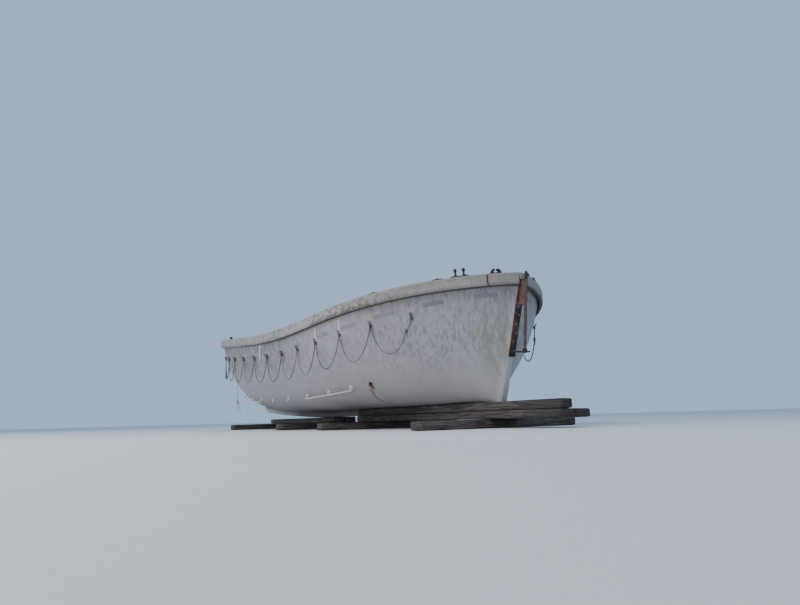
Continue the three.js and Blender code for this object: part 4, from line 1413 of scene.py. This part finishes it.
def facing():
    half, bed, face = FACING["width"] / 2, 0.0004, FACING["thick"]
    corners = [(-half, bed), (-half, face), (half, face), (half, bed)]
    section = rounded(corners, [0.001, 0.005, 0.005, 0.001], 3)
    rings = []
    for t in np.linspace(FACING["from"], FACING["to"], 40):
        matrix = post_matrix(t)
        rings.append([matrix @ Vector((x, 0, z)) for x, z in section])
    return loft(rings)


FACING_BOLTS = [(0.014 * (-1) ** k, 0.66 + 0.098 * k) for k in range(6)]
outwards(new_piece("facing", *facing(), SCALED_STEEL, "rusty_steel", ["sternpost_facing"]))
heads = [bolt(post_matrix(t, FACING["thick"] - 0.001) @ Matrix.Translation((x, 0, 0)), 0.0095, 0.009)
         for x, t in FACING_BOLTS]
outwards(new_piece("facing_bolts", *joined(heads), PALE_BOLT, "rusty_steel"))

# %% The rod and the bracket that holds its upper part
ROD = {"foot": (0.014, 0.612), "head": (-0.082, 1.424), "radius": 0.017, "uneven": 0.035}
UPPER_BRACKET = {"from": 1.152, "to": 1.42, "half": 0.02, "lap": 0.002}


def rod_at(t):
    part = (t - ROD["foot"][1]) / (ROD["head"][1] - ROD["foot"][1])
    return np.array([0, lerp(ROD["foot"][0], ROD["head"][0], part) - HALF_LENGTH, t + KEEL_FOOT])


def upper_bracket():
    """A block that fills the space between the facing and the rod, whose sides aren't parallel."""
    rings = []
    half = UPPER_BRACKET["half"]
    for t in np.linspace(UPPER_BRACKET["from"], UPPER_BRACKET["to"], 14):
        post_side = post_aft(t) - FACING["thick"] - HALF_LENGTH + UPPER_BRACKET["lap"]
        rod_side = rod_at(t)[1] + ROD["radius"] * 0.6
        corners = [(-half, post_side), (half, post_side), (half, rod_side), (-half, rod_side)]
        rings.append([(x, y, t + KEEL_FOOT) for x, y in rounded(corners, 0.004, 2)])
    return loft(rings)


def bevelled(piece, width):
    """Rounds the hard edges of a piece, as wear and paint do."""
    modifier = piece.modifiers.new("worn edges", "BEVEL")
    modifier.width = width
    modifier.segments = 2
    modifier.limit_method = "ANGLE"
    modifier.angle_limit = math.radians(35)
    modifier.harden_normals = True
    return piece


rod_path = [rod_at(t) for t in np.linspace(ROD["foot"][1], ROD["head"][1], 60)]
rod_radii = [ROD["radius"] * (1 + ROD["uneven"] * noise.noise(Vector(p) * 30)) for p in rod_path]
outwards(bevelled(new_piece("rod_upper_bracket_block", *upper_bracket(), BROWN_STEEL, "rusty_steel",
                            ["rod_upper_bracket"]), 0.003))
outwards(new_piece("rod", *tube(rod_path, rod_radii, 20), ROD_STEEL, "rusty_steel", ["rudder_rod"]))
print("rod:", round(path_length(rod_path), 3), "m long")

# %% The rod's cap
# Heights along the rod and the radii there
ROD_CAP = [(1.4245, 0.0145), (1.426, 0.0165), (1.45, 0.0168), (1.5, 0.0165), (1.51, 0.0145), (1.5165, 0.008)]
cap = tube([rod_at(t) for t, _ in ROD_CAP], [radius for _, radius in ROD_CAP], 20)
outwards(new_piece("rod_cap_knob", *cap, BLACK_STEEL, "black_steel", ["rod_cap"]))

# %% Lower bracket: a bar that droops aft from its pad on the facing, with the rod's collar on it
LOWER_BRACKET = {"t": 0.638, "thick": 0.016, "width": 0.05, "to": -0.055, "fall": 0.025}
PAD = {"high": 0.036, "thick": 0.004}
COLLAR = [(0.018, -0.012), (0.027, -0.012), (0.027, 0.024), (0.018, 0.024)]


def droop_bar():
    start = post_aft(LOWER_BRACKET["t"]) - FACING["thick"]
    long = math.hypot(start - LOWER_BRACKET["to"], LOWER_BRACKET["fall"])
    way = Vector((0, LOWER_BRACKET["to"] - start, -LOWER_BRACKET["fall"])).normalized()
    seat = frame_from((-1, 0, 0), way, way.cross(Vector((1, 0, 0))),
                      (0, start - HALF_LENGTH, LOWER_BRACKET["t"] + KEEL_FOOT))
    half = LOWER_BRACKET["width"] / 2
    outline = rounded([(-half, 0), (half, 0), (half, long), (-half, long)], [0.002, 0.002, 0.02, 0.02])
    return plate(outline, 0, LOWER_BRACKET["thick"], seat)


def bracket_pad():
    seat = post_matrix(FACING["from"] + PAD["high"] / 2 + 0.001, FACING["thick"] + 0.0003)
    return plate(rectangle(FACING["width"] + 0.002, PAD["high"]), 0, PAD["thick"], seat, 0.0015)


collar = turned(COLLAR, Matrix.Translation(Vector(rod_at(LOWER_BRACKET["t"]))), 20)
outwards(new_piece("rod_lower_bracket_bar", *joined([droop_bar(), collar, bracket_pad()]), BLACK_STEEL,
                   "black_steel", ["rod_lower_bracket"]))

# %% [markdown]
# ## Fittings on the rail
# Bitts hold a mooring line, chocks lead it over the rail and plates carry the rowlocks. They could each be
# turned into place by hand, but the rail slopes and curves. So a matrix gives the rail's own axes at a
# place: out of the boat, along the rail and up. The port ones are mirrored.

# %% A seat on the rail
SEAT_FEEL = 0.002
RAIL_TOP_MIDDLE = (0.024 - 0.09) / 2
MIRROR = Matrix.Diagonal((-1, 1, 1, 1))


def rail_seat(s):
    share = s / LENGTH
    a, b = (shell_point(share + d, top_of(share + d)) for d in (-SEAT_FEEL, SEAT_FEEL))
    along = unit(b - a)
    out = unit([along[1], -along[0], 0])
    spot = shell_point(share, top_of(share)) + out * RAIL_TOP_MIDDLE
    return frame_from(out, along, unit(np.cross(out, along)), spot)


print("a seat amidships:", rail_seat(HALF_LENGTH).translation)

# %% Profiles of the fittings
# The bitt's knob as (radius, height), and the chock's two horns as (along, up)
KNOB = [(PINPOINT, -0.006), (0.0225, -0.006), (0.0215, 0.004), (0.018, 0.014), (0.013, 0.024),
        (0.0105, 0.034), (0.0105, 0.045), (0.0135, 0.053), (0.0172, 0.061), (0.019, 0.07), (0.0182, 0.078),
        (0.0158, 0.086), (0.012, 0.0915), (0.007, 0.095), (PINPOINT, 0.096)]
HORN = [(-0.066, -0.006), (0.066, -0.006), (0.066, 0.014), (0.044, 0.056), (0.014, 0.062), (0.008, 0.052),
        (0.01, 0.041), (0.027, 0.035), (0.027, 0.015), (-0.027, 0.015), (-0.027, 0.035), (-0.01, 0.041),
        (-0.008, 0.052), (-0.014, 0.062), (-0.044, 0.052), (-0.066, 0.014)]
SOCKET = [(0.013, 0.004), (0.024, 0.004), (0.024, 0.018), (0.02, 0.022), (0.014, 0.022), (0.013, 0.018)]
CHOCK = {"half": 0.023, "eased": 0.004, "shrink": 0.97}
print("the knob's profile has", len(KNOB), "points")


# %% Bitts, chocks and rowlock plates
def bitts(seat):
    parts = [plate(rounded(rectangle(0.09, 0.205), 0.012), -0.006, 0.012, seat)]
    for side in (-1, 1):
        parts.append(turned(KNOB, seat @ Matrix.Translation((0, side * 0.047, 0.012)), 28))
        for across in (-0.033, 0.033):
            parts.append(bolt(seat @ Matrix.Translation((across, side * 0.085, 0.011)), 0.006, 0.005))
    return parts


def chock(seat):
    """The two horns cut from one thickness, with eased edges."""
    half, eased = CHOCK["half"], CHOCK["half"] - CHOCK["eased"]
    outline = rounded(HORN, 0.006, 3)
    middle = np.array([0, 0.02])
    rings = []
    for scale, x in ((CHOCK["shrink"], -half), (1, -eased), (1, eased), (CHOCK["shrink"], half)):
        rings.append([seat @ Vector((x, *(middle + (p - middle) * scale))) for p in outline])
    return [loft(rings)]


def rowlock_plate(seat):
    parts = [plate(rounded(rectangle(0.07, 0.13), 0.014), -0.006, 0.012, seat), turned(SOCKET, seat)]
    parts += [bolt(seat @ Matrix.Translation((0, d, 0.011)), 0.006, 0.005) for d in (-0.048, 0.048)]
    return parts


print("a pair of bitts is made of", len(bitts(Matrix())), "shapes")

# %% Fittings to port and starboard
FITTINGS = [("stern_bitts", bitts, 0.33), ("bow_bitts", bitts, 8.4), ("stern_chock", chock, 0.105),
            ("bow_chock", chock, 8.85), ("rowlock_plate_aft", rowlock_plate, 0.5),
            ("rowlock_plate_forward", rowlock_plate, 1.15)]
CREASE = math.radians(40)
for name, make, s in FITTINGS:
    for side, turn in (("starboard", Matrix()), ("port", MIRROR)):
        shape = joined(make(turn @ rail_seat(s)))
        fitting = outwards(new_piece(f"{name}_{side}_cast", *shape, BLACK_STEEL, "rusty_steel",
                                     [f"{name}_{side}"]))
        fitting.data.set_sharp_from_angle(angle=CREASE)

# %% [markdown]
# ## Lugs for the lifelines
# Each bight is tied to a small eye plate that is bolted to the shell. It is a tongue with a hole in it. A
# plate could be cut through, but a ring standing out of a short pad looks the same and stays simple.

# %% Eye plates
EYE_RISE = 0.038
EYE_RING = {"radius": 0.014, "bar": 0.004, "out": 0.018, "up": 0.002, "open": 2.7}


def eye_plate(s, side):
    point, along, out = lug_seat(s)
    seat = frame_from(along, [0, 0, 1], out, point + [0, 0, EYE_RISE])
    if side == "port":
        seat = MIRROR @ seat
    pad = plate(rounded(rectangle(0.03, 0.06), 0.008), -0.012, 0.006, seat)
    ring = []
    for angle in np.linspace(-EYE_RING["open"], EYE_RING["open"], 24):
        up = EYE_RING["up"] + EYE_RING["radius"] * math.sin(angle)
        ring.append(seat @ Vector((0, up, EYE_RING["out"] + EYE_RING["radius"] * math.cos(angle))))
    return [pad, tube(ring, EYE_RING["bar"], 8)]


for side, places in (("port", [*LUGS["port"], PAINTER["s"]]), ("starboard", LUGS["starboard"])):
    parts = [part for s in places for part in eye_plate(s, side)]
    outwards(new_piece(f"eye_plates_{side}", *joined(parts), BLACK_STEEL, "rusty_steel"))

# %% [markdown]
# ## Grab rails
# Under each bilge runs a rail for holding on to when the boat has capsized. To port it is torn: two
# lengths are left, two posts stand alone and one is a rusty stump. The bars could be curves, but they
# follow the shell at one distance, so they are tubes along its own points. A post flares into a foot
# where it is bedded on the shell, and that foot is what shows as a white blob from below.

# %% A post of the grab rail
GRAB = {"radius": 0.0085, "post": 0.0085, "off": 0.062, "foot": 0.034}
GRAB_LINE = {"lowest": 0.3, "at": 3.9, "bend": 0.018}
TORN_STRIP = {"forward": 0.045, "down": 0.07, "off": 0.003, "curl": 0.008}


def grab_level(s):
    return GRAB_LINE["lowest"] + GRAB_LINE["bend"] * (s - GRAB_LINE["at"]) ** 2


def grab_seat(s):
    return shell_side(s, grab_level(s)), shell_normal(s, grab_level(s))


def grab_post(s, long=GRAB["off"], foot=GRAB["foot"]):
    point, out = grab_seat(s)
    side = unit(np.cross(out, [0, 1, 0]))
    seat = frame_from(np.cross(out, side), side, out, point)
    profile = [(PINPOINT, -0.006), (foot, -0.004), (foot, 0.004), (foot * 0.82, 0.01), (foot * 0.5, 0.02),
               (0.0115, 0.034), (GRAB["post"], 0.044), (GRAB["post"], long - 0.003), (0.007, long),
               (PINPOINT, long)]
    return turned(profile, seat, 20)


print("the torn post's foot:", grab_seat(TORN_POST)[0].round(3))


# %% A length of grab rail, and the torn strip
def grab_length(posts, start, stop):
    line = []
    for s in np.linspace(start, stop, 12 * len(posts)):
        point, out = grab_seat(s)
        line.append(point + out * GRAB["off"])
    path = even_path(line, ROUTE_STEP)
    radii = np.full(len(path), GRAB["radius"])
    radii[[0, -1]] *= 0.6
    return [tube(path, radii, 14), *map(grab_post, posts)]


def torn_strip():
    """What is left of the torn post's backing strip: it hangs down the shell from the post's foot."""
    line = []
    for part in np.linspace(0, 1, 7):
        s = TORN_POST + TORN_STRIP["forward"] * part
        t = grab_level(TORN_POST) - TORN_STRIP["down"] * part
        off = TORN_STRIP["off"] + TORN_STRIP["curl"] * part ** 2
        line.append(shell_side(s, t) + shell_normal(s, t) * off)
    return tube(line, [0.009, 0.012, 0.01, 0.012, 0.008, 0.007, 0.003], 8)


print("the torn strip has", len(torn_strip()[0]), "points")

# %% Grab rails
GRAB_LENGTHS = {
    "grab_rail_starboard_aft": ([2.1, 2.8, 3.5], 2.06, 3.842),
    "grab_rail_starboard_middle": ([4.2, 4.9], 3.858, 5.267),
    "grab_rail_starboard_forward": ([5.65, 6.4, 7.15], 5.283, 7.23),
    "grab_rail_port_aft": ([2.1, 2.62, 3.26], 2.06, 3.29),
    "grab_rail_port_forward": ([5.26, 5.93, 6.56, 7.2], 5.225, 7.25),
}
GRAB_STUBS = {"grab_stub_port_aft": 3.96, "grab_stub_port_forward": 4.61}


def grab_piece(name, parts, finish, slot):
    points, faces = joined(parts)
    points = np.array([tuple(p) for p in points])
    turn = mirror if "port" in name else np.asarray
    outwards(new_piece(f"{name}_bar", turn(points), faces, finish, slot, [name]))


for name, (posts, start, stop) in GRAB_LENGTHS.items():
    grab_piece(name, grab_length(posts, start, stop), WHITE_PAINT, "white_paint")
for name, s in GRAB_STUBS.items():
    grab_piece(name, [grab_post(s, foot=0.028)], WHITE_PAINT, "white_paint")
torn = [grab_post(TORN_POST, 0.046, 0.026), torn_strip()]
grab_piece("grab_stub_port_torn", torn, SCALED_STEEL, "rusty_steel")

# %% [markdown]
# ## Boards
# The bottom boards, thwarts and sheets are planks, once painted, now dry and grey. Wood grain is a noise
# stretched along the plank, and its rings are waves of that noise. A floor of planks could be one slab
# with lines drawn on it, but a gap drawn in colour never casts a shadow. So each plank is a closed form of
# its own within the mesh, with a gap beside it.

# %% Wood finishes
ACROSS, ALONG = 0, 1


def wood_finish(name, along, tones, ring_scale, paint=None, shade_aft_of=None):
    """Dry wood with its grain along one axis."""
    finish = Finish(name)
    stretch = np.full(3, 26.0)
    stretch[along] = 1.1
    grain = finish.noise(1, 6, 0.62, stretch=tuple(stretch), warp=0.25)
    fine = finish.noise(1, 5, 0.7, stretch=tuple(stretch * 7))
    waves = (grain * (ring_scale * math.tau)).sine() * 0.5 + 0.5
    patches = finish.noise(2.2, 4, 0.6)
    dark, middle, pale = tones
    finish.shade = finish.ramp(waves * 0.35 + fine * 0.4 + patches * 0.25,
                               [(0.28, dark), (0.5, middle), (0.72, pale)])
    cracks = finish.between(fine, 0.4, 0.32) * finish.between(grain, 0.45, 0.55)
    finish.lay(cracks * 0.8, darker(dark, 0.25))
    if paint:
        kept = finish.between(finish.noise(5, 6, 0.7) + fine * 0.15, 0.6, 0.54)
        finish.lay(kept * 0.8, paint)
    # Painted shadow: the lengthwise timbers are darkened at their aft ends, beyond the stern.
    if shade_aft_of is not None:
        _, y, _ = finish.axes()
        aft_shade = finish.between(y + (patches - 0.5) * 0.6, shade_aft_of, shade_aft_of - 0.35)
        finish.lay(aft_shade * 0.6, darker(dark, 0.6))
    relief = finish.bump(waves * 0.25 + fine * 0.75 - cracks * 0.8, 0.004, 0.8)
    return finish.surface(Roughness=0.85 + fine * 0.12, Normal=relief)


BOARD_TONES = ((0.1, 0.085, 0.065), (0.2, 0.17, 0.13), (0.33, 0.29, 0.235))
TIMBER_TONES = ((0.026, 0.02, 0.019), (0.062, 0.05, 0.046), (0.125, 0.106, 0.096))
BOARDS_ALONG = wood_finish("bottom boards", ALONG, BOARD_TONES, 9)
BOARDS_ACROSS = wood_finish("thwart boards", ACROSS, BOARD_TONES, 9, paint=(0.3, 0.3, 0.27))
TIMBER_ALONG = wood_finish("old timber lengthwise", ALONG, TIMBER_TONES, 6, shade_aft_of=-HALF_LENGTH)
TIMBER_ACROSS = wood_finish("old timber crosswise", ACROSS, TIMBER_TONES, 6)

# %% [markdown]
# ## Inside the boat
# The photograph shows nothing inside, so this follows the type: boards low down between two side benches
# with buoyancy under them, five thwarts, sheets at both ends and a fall hook at each. Planks can be made
# too long and cut by the shell with a boolean. Here the shell's width is known at every place, so each
# plank is made to end just short of it.

# %% Planks
def inner_half(s, t):
    """Half the width inside the shell, less a little, at s and t."""
    out = shell_normal(s, t)
    return max(0.0, shell_side(s, t)[0] - (SHELL + 0.002) / max(out[0], 0.25))


def board(corners, low, high, edge):
    """A plank whose outline is given from above as (x, s) corners."""
    outline = np.array([(x, s - HALF_LENGTH) for x, s in corners])
    return plate(outline, low + KEEL_FOOT, high + KEEL_FOOT, Matrix(), edge)


def long_boards(s_from, s_to, low, high, width, reach):
    """Planks that run along the boat, each cut off where the shell narrows."""
    parts = []
    count = int(reach // width)
    for k in range(-count, count):
        a, b = k * width + 0.004, (k + 1) * width - 0.004
        far = max(abs(a), abs(b))
        inside = [s for s in np.linspace(s_from, s_to, 140) if inner_half(s, low) > far]
        if inside:
            start, stop = inside[0] + 0.01, inside[-1] - 0.01
            parts.append(board([(a, start), (b, start), (b, stop), (a, stop)], low, high, 0.003))
    return parts


def cross_boards(s_from, s_to, low, high, count):
    """Planks that run across the boat."""
    parts = []
    marks = np.linspace(s_from, s_to, count + 1)
    for start, stop in zip(marks + 0.002, marks[1:] - 0.002):
        a, b = inner_half(start, low), inner_half(stop, low)
        if min(a, b) > 0.03:
            parts.append(board([(-a, start), (a, start), (b, stop), (-b, stop)], low, high, 0.004))
    return parts


print("half the width inside amidships at the benches:", round(inner_half(HALF_LENGTH, 0.8), 3))

# %% Bottom boards, thwarts and sheets
BENCH_TOP = 0.8
SHEET_TOP = 0.83
GAP = 0.0003
WELL = (1.37, 7.63)
BOTTOM = {"low": 0.215, "high": 0.24, "width": 0.115, "reach": 1.0}
THWARTS = {"at": [1.9, 3.15, 4.4, 5.65, 6.9], "half": 0.12, "thick": 0.045}
SHEETS = {"stern": (0.32, 1.36, 10), "bow": (7.64, 8.44, 8)}


def boards_piece(name, parts, finish, node):
    outwards(new_piece(name, *joined(parts), finish, "boards", [node], smooth=False))
    print(name, len(parts), "planks")


rest = BENCH_TOP + GAP
boards_piece("bottom_planks", long_boards(*WELL, **BOTTOM), BOARDS_ALONG, "bottom_boards")
for number, s in enumerate(THWARTS["at"], 1):
    planks = cross_boards(s - THWARTS["half"], s + THWARTS["half"], rest, rest + THWARTS["thick"], 2)
    boards_piece(f"thwart_{number}_planks", planks, BOARDS_ACROSS, f"thwart_{number}")
for end, (start, stop, count) in SHEETS.items():
    planks = cross_boards(start, stop, rest, SHEET_TOP, count)
    boards_piece(f"{end}_sheet_planks", planks, BOARDS_ACROSS, f"{end}_sheets")


# %% Moulding inside: benches and tanks
def inner_moulding():
    finish = Finish("inner moulding")
    clouds = finish.noise(1.4, 5, 0.6)
    mottle = finish.noise(17, 5, 0.65)
    dirt = finish.noise(4, 6, 0.7)
    finish.shade = finish.ramp(clouds * 0.6 + mottle * 0.4,
                               [(0.36, (0.3, 0.285, 0.22)), (0.62, (0.46, 0.445, 0.37))])
    finish.lay(finish.between(dirt, 0.5, 0.68) * 0.5, (0.14, 0.125, 0.09))
    return finish.surface(Roughness=0.65 + mottle * 0.2, Normal=finish.bump(mottle, 0.002, 0.5))


INNER = inner_moulding()
for name in ("side_bench_starboard", "side_bench_port", "stern_tank", "bow_tank"):
    node = frame["nodes"][name]
    node.data.materials.clear()
    node.data.materials.append(INNER)

# %% Fall hooks
HOOK_EYE = {"radius": 0.046, "high": 0.255, "bar": 0.0148}
HOOK_SHANK = [(PINPOINT, 0.01), (0.034, 0.01), (0.034, 0.016), (0.024, 0.03), (0.02, 0.05), (0.02, 0.19),
              (0.024, 0.2), (0.022, 0.215), (PINPOINT, 0.22)]


def fall_hook(s):
    foot = Matrix.Translation((0, s - HALF_LENGTH, SHEET_TOP + KEEL_FOOT + 2 * GAP))
    base = plate(rounded(rectangle(0.12, 0.16), 0.016), 0, 0.012, foot, 0.003)
    eye = []
    for angle in np.linspace(-math.pi / 2, 1.5 * math.pi, 48):
        high = HOOK_EYE["high"] + HOOK_EYE["radius"] * math.sin(angle)
        eye.append(foot @ Vector((0, HOOK_EYE["radius"] * math.cos(angle), high)))
    parts = [base, turned(HOOK_SHANK, foot, 28), tube(eye, HOOK_EYE["bar"], 16)]
    for x, y in rectangle(0.084, 0.12):
        parts.append(bolt(foot @ Matrix.Translation((x, y, 0.011)), 0.009, 0.008))
    return parts


for name, s in (("fall_hook_aft", 0.95), ("fall_hook_forward", 8.05)):
    hook = outwards(new_piece(f"{name}_forged", *joined(fall_hook(s)), RUST, "rusty_steel", [name]))
    hook.data.set_sharp_from_angle(angle=CREASE)

# %% [markdown]
# ## The timber stack
# The boat rests on old baulks: bearers across, then lengths along the keel, with packing beside it. Sawn
# timber has waney corners, checks in its ends and faces that have worn hollow along the grain. A displace
# modifier would swell the faces as well as wear them, and the timbers lie on each other. So each baulk is
# a loft of rounded sections whose outline is only pushed inwards.

# %% Wear on a baulk
HOLLOW = 0.004
BAULK_STEP = 0.05


def wear_at(point, half, mark, end, seed):
    """How deep a point of a section has worn, at a mark along the baulk and so far from its end."""
    corner = np.prod(np.abs(point) / half)
    face = HOLLOW * noise.noise(Vector((point[0] * 9 + seed, point[1] * 9, mark * 1.7)))
    rough = noise.noise(Vector((seed, mark * 2.3, corner * 5)))
    return max(0, face + corner ** 6 * (0.01 + 0.008 * rough) + max(0, 0.012 - end) * 0.5)


def section_outline(half):
    """Eight points along each side of a rectangle about the middle."""
    corners = np.array(rectangle(*(2 * half)))
    outline = []
    for start, stop in zip(corners, np.roll(corners, -1, axis=0)):
        outline.extend(lerp(start, stop, k / 8) for k in range(8))
    return outline


print("wear at a corner:", round(float(wear_at(np.array([0.1, 0.05]), np.array([0.1, 0.05]), 0, 1, 1)), 4))


# %% Worn baulks
def baulk(low, high, along, seed):
    """A worn baulk in the box from low to high, its grain along one axis."""
    low, high = np.array(low, float), np.array(high, float)
    across = [k for k in range(3) if k != along]
    half, middle = (high - low)[across] / 2, (high + low)[across] / 2
    outline = section_outline(half)
    steps = max(12, int((high[along] - low[along]) / BAULK_STEP))
    rings = []
    for mark in np.linspace(low[along], high[along], steps + 1):
        end = min(mark - low[along], high[along] - mark)
        ring = []
        for point in outline:
            place = np.zeros(3)
            place[across] = middle + point - unit(point) * wear_at(point, half, mark, end, seed)
            check = HOLLOW * noise.noise(Vector((*point * 20, seed))) if end == 0 else 0
            place[along] = mark + check
            ring.append(place)
        rings.append(ring)
    return loft(rings)


print("a baulk 1 m long has", len(baulk((0, 0, 0), (1, 0.2, 0.2), 0, 1)[1]), "faces")

# %% The stack
# Bearers lie across. Over them, to each side, lie lower baulks, and on those the packing beside the keel
BEARERS = {"at": [0.5, 2.9, 4.5, 7.0], "reach": 1.15, "half": 0.09, "high": 0.1}
LOWER = {"aft": (-0.65, 3.6), "forward": (4.4, 7.45)}
LOWER_BOX = {"x": (0.004, 0.204), "z": (0.1003, 0.1897)}
PACKING = {"port": (-0.65, 3.6), "starboard": (-0.42, 3.5)}
PACKING_BOX = {"x": (0.0453, 0.1853), "z": (0.19, 0.2897)}
SIGNS = {"starboard": 1, "port": -1}


def lengthwise_timber(name, node, side, s, box, seed):
    """A baulk along the boat; the box gives its reach to starboard and its heights."""
    x = sorted(SIGNS[side] * reach for reach in box["x"])
    low, high = ((x[k], s[k] - HALF_LENGTH, box["z"][k]) for k in range(2))
    outwards(new_piece(name, *baulk(low, high, ALONG, seed), TIMBER_ALONG, "old_timber", [node]))


for number, s in enumerate(BEARERS["at"], 1):
    y, reach, half = s - HALF_LENGTH, BEARERS["reach"], BEARERS["half"]
    shape = baulk((-reach, y - half, 0), (reach, y + half, BEARERS["high"]), ACROSS, number)
    outwards(new_piece(f"bearer_{number}", *shape, TIMBER_ACROSS, "old_timber", [f"cross_bearer_{number}"]))
for end, ends in LOWER.items():
    for side, sign in SIGNS.items():
        lengthwise_timber(f"lower_timber_{end}_{side}", f"lower_baulk_{end}_{side}", side, ends, LOWER_BOX,
                          sign + ends[0])
for side, ends in PACKING.items():
    lengthwise_timber(f"packing_timber_{side}", f"packing_baulk_{side}", side, ends, PACKING_BOX,
                      9 * SIGNS[side])

# %% [markdown]
# ## Floor and light
# The boat is shown on a plain pale floor in soft studio light. One lamp would leave hard shadows under the
# rail, so the light comes from four large area lamps, the two strongest of them to port, and from a pale
# blue world. The floor is large, so its edge shows only as a soft horizon.

# %% Floor
FLOOR_HALF = 400


def floor_finish():
    finish = Finish("pale floor")
    wear = finish.noise(0.8, 4, 0.5)
    fine = finish.noise(60, 4, 0.6)
    finish.shade = finish.mix(wear * 0.4 + fine * 0.15, (0.72, 0.715, 0.71), (0.66, 0.655, 0.65))
    return finish.surface(Roughness=0.9)


floor_mesh = bpy.data.meshes.new("floor")
floor_mesh.from_pydata([(x, y, 0) for x, y in rectangle(2 * FLOOR_HALF, 2 * FLOOR_HALF)], [], [(0, 1, 2, 3)])
floor_mesh.materials.append(floor_finish())
floor = bpy.data.objects.new("floor", floor_mesh)
bpy.context.scene.collection.objects.link(floor)

# %% World and lamps
world = bpy.data.worlds.new("pale blue world")
bpy.context.scene.world = world
world.use_nodes = True
world.node_tree.nodes["Background"].inputs["Color"].default_value = (0.5, 0.7, 1.0, 1)
world.node_tree.nodes["Background"].inputs["Strength"].default_value = 0.8

WARM, COOL = (1.0, 0.9, 0.79), (0.8, 0.88, 1.0)


def soft_light(name, place, aim, size, power, tint):
    light = bpy.data.lights.new(name, "AREA")
    light.shape = "RECTANGLE"
    light.size, light.size_y = size
    light.energy = power
    light.color = tint
    lamp = bpy.data.objects.new(name, light)
    lamp.location = place
    lamp.rotation_euler = (Vector(aim) - Vector(place)).to_track_quat("-Z", "Y").to_euler()
    bpy.context.scene.collection.objects.link(lamp)
    print(name, power, "W")


soft_light("high_softbox", (-7, -3, 9), (0, 0, 1), (9, 9), 700, WARM)
soft_light("stern_softbox", (-2, -12, 4), (0, -2, 1), (6, 4), 60, WARM)
soft_light("low_softbox", (-9, -7, 0.7), (0, -1, 0.7), (7, 1.2), 190, WARM)
soft_light("bow_softbox", (-14, 11, 5), (0, 2, 1), (6, 5), 700, COOL)

# %% The end
bpy.context.view_layer.update()
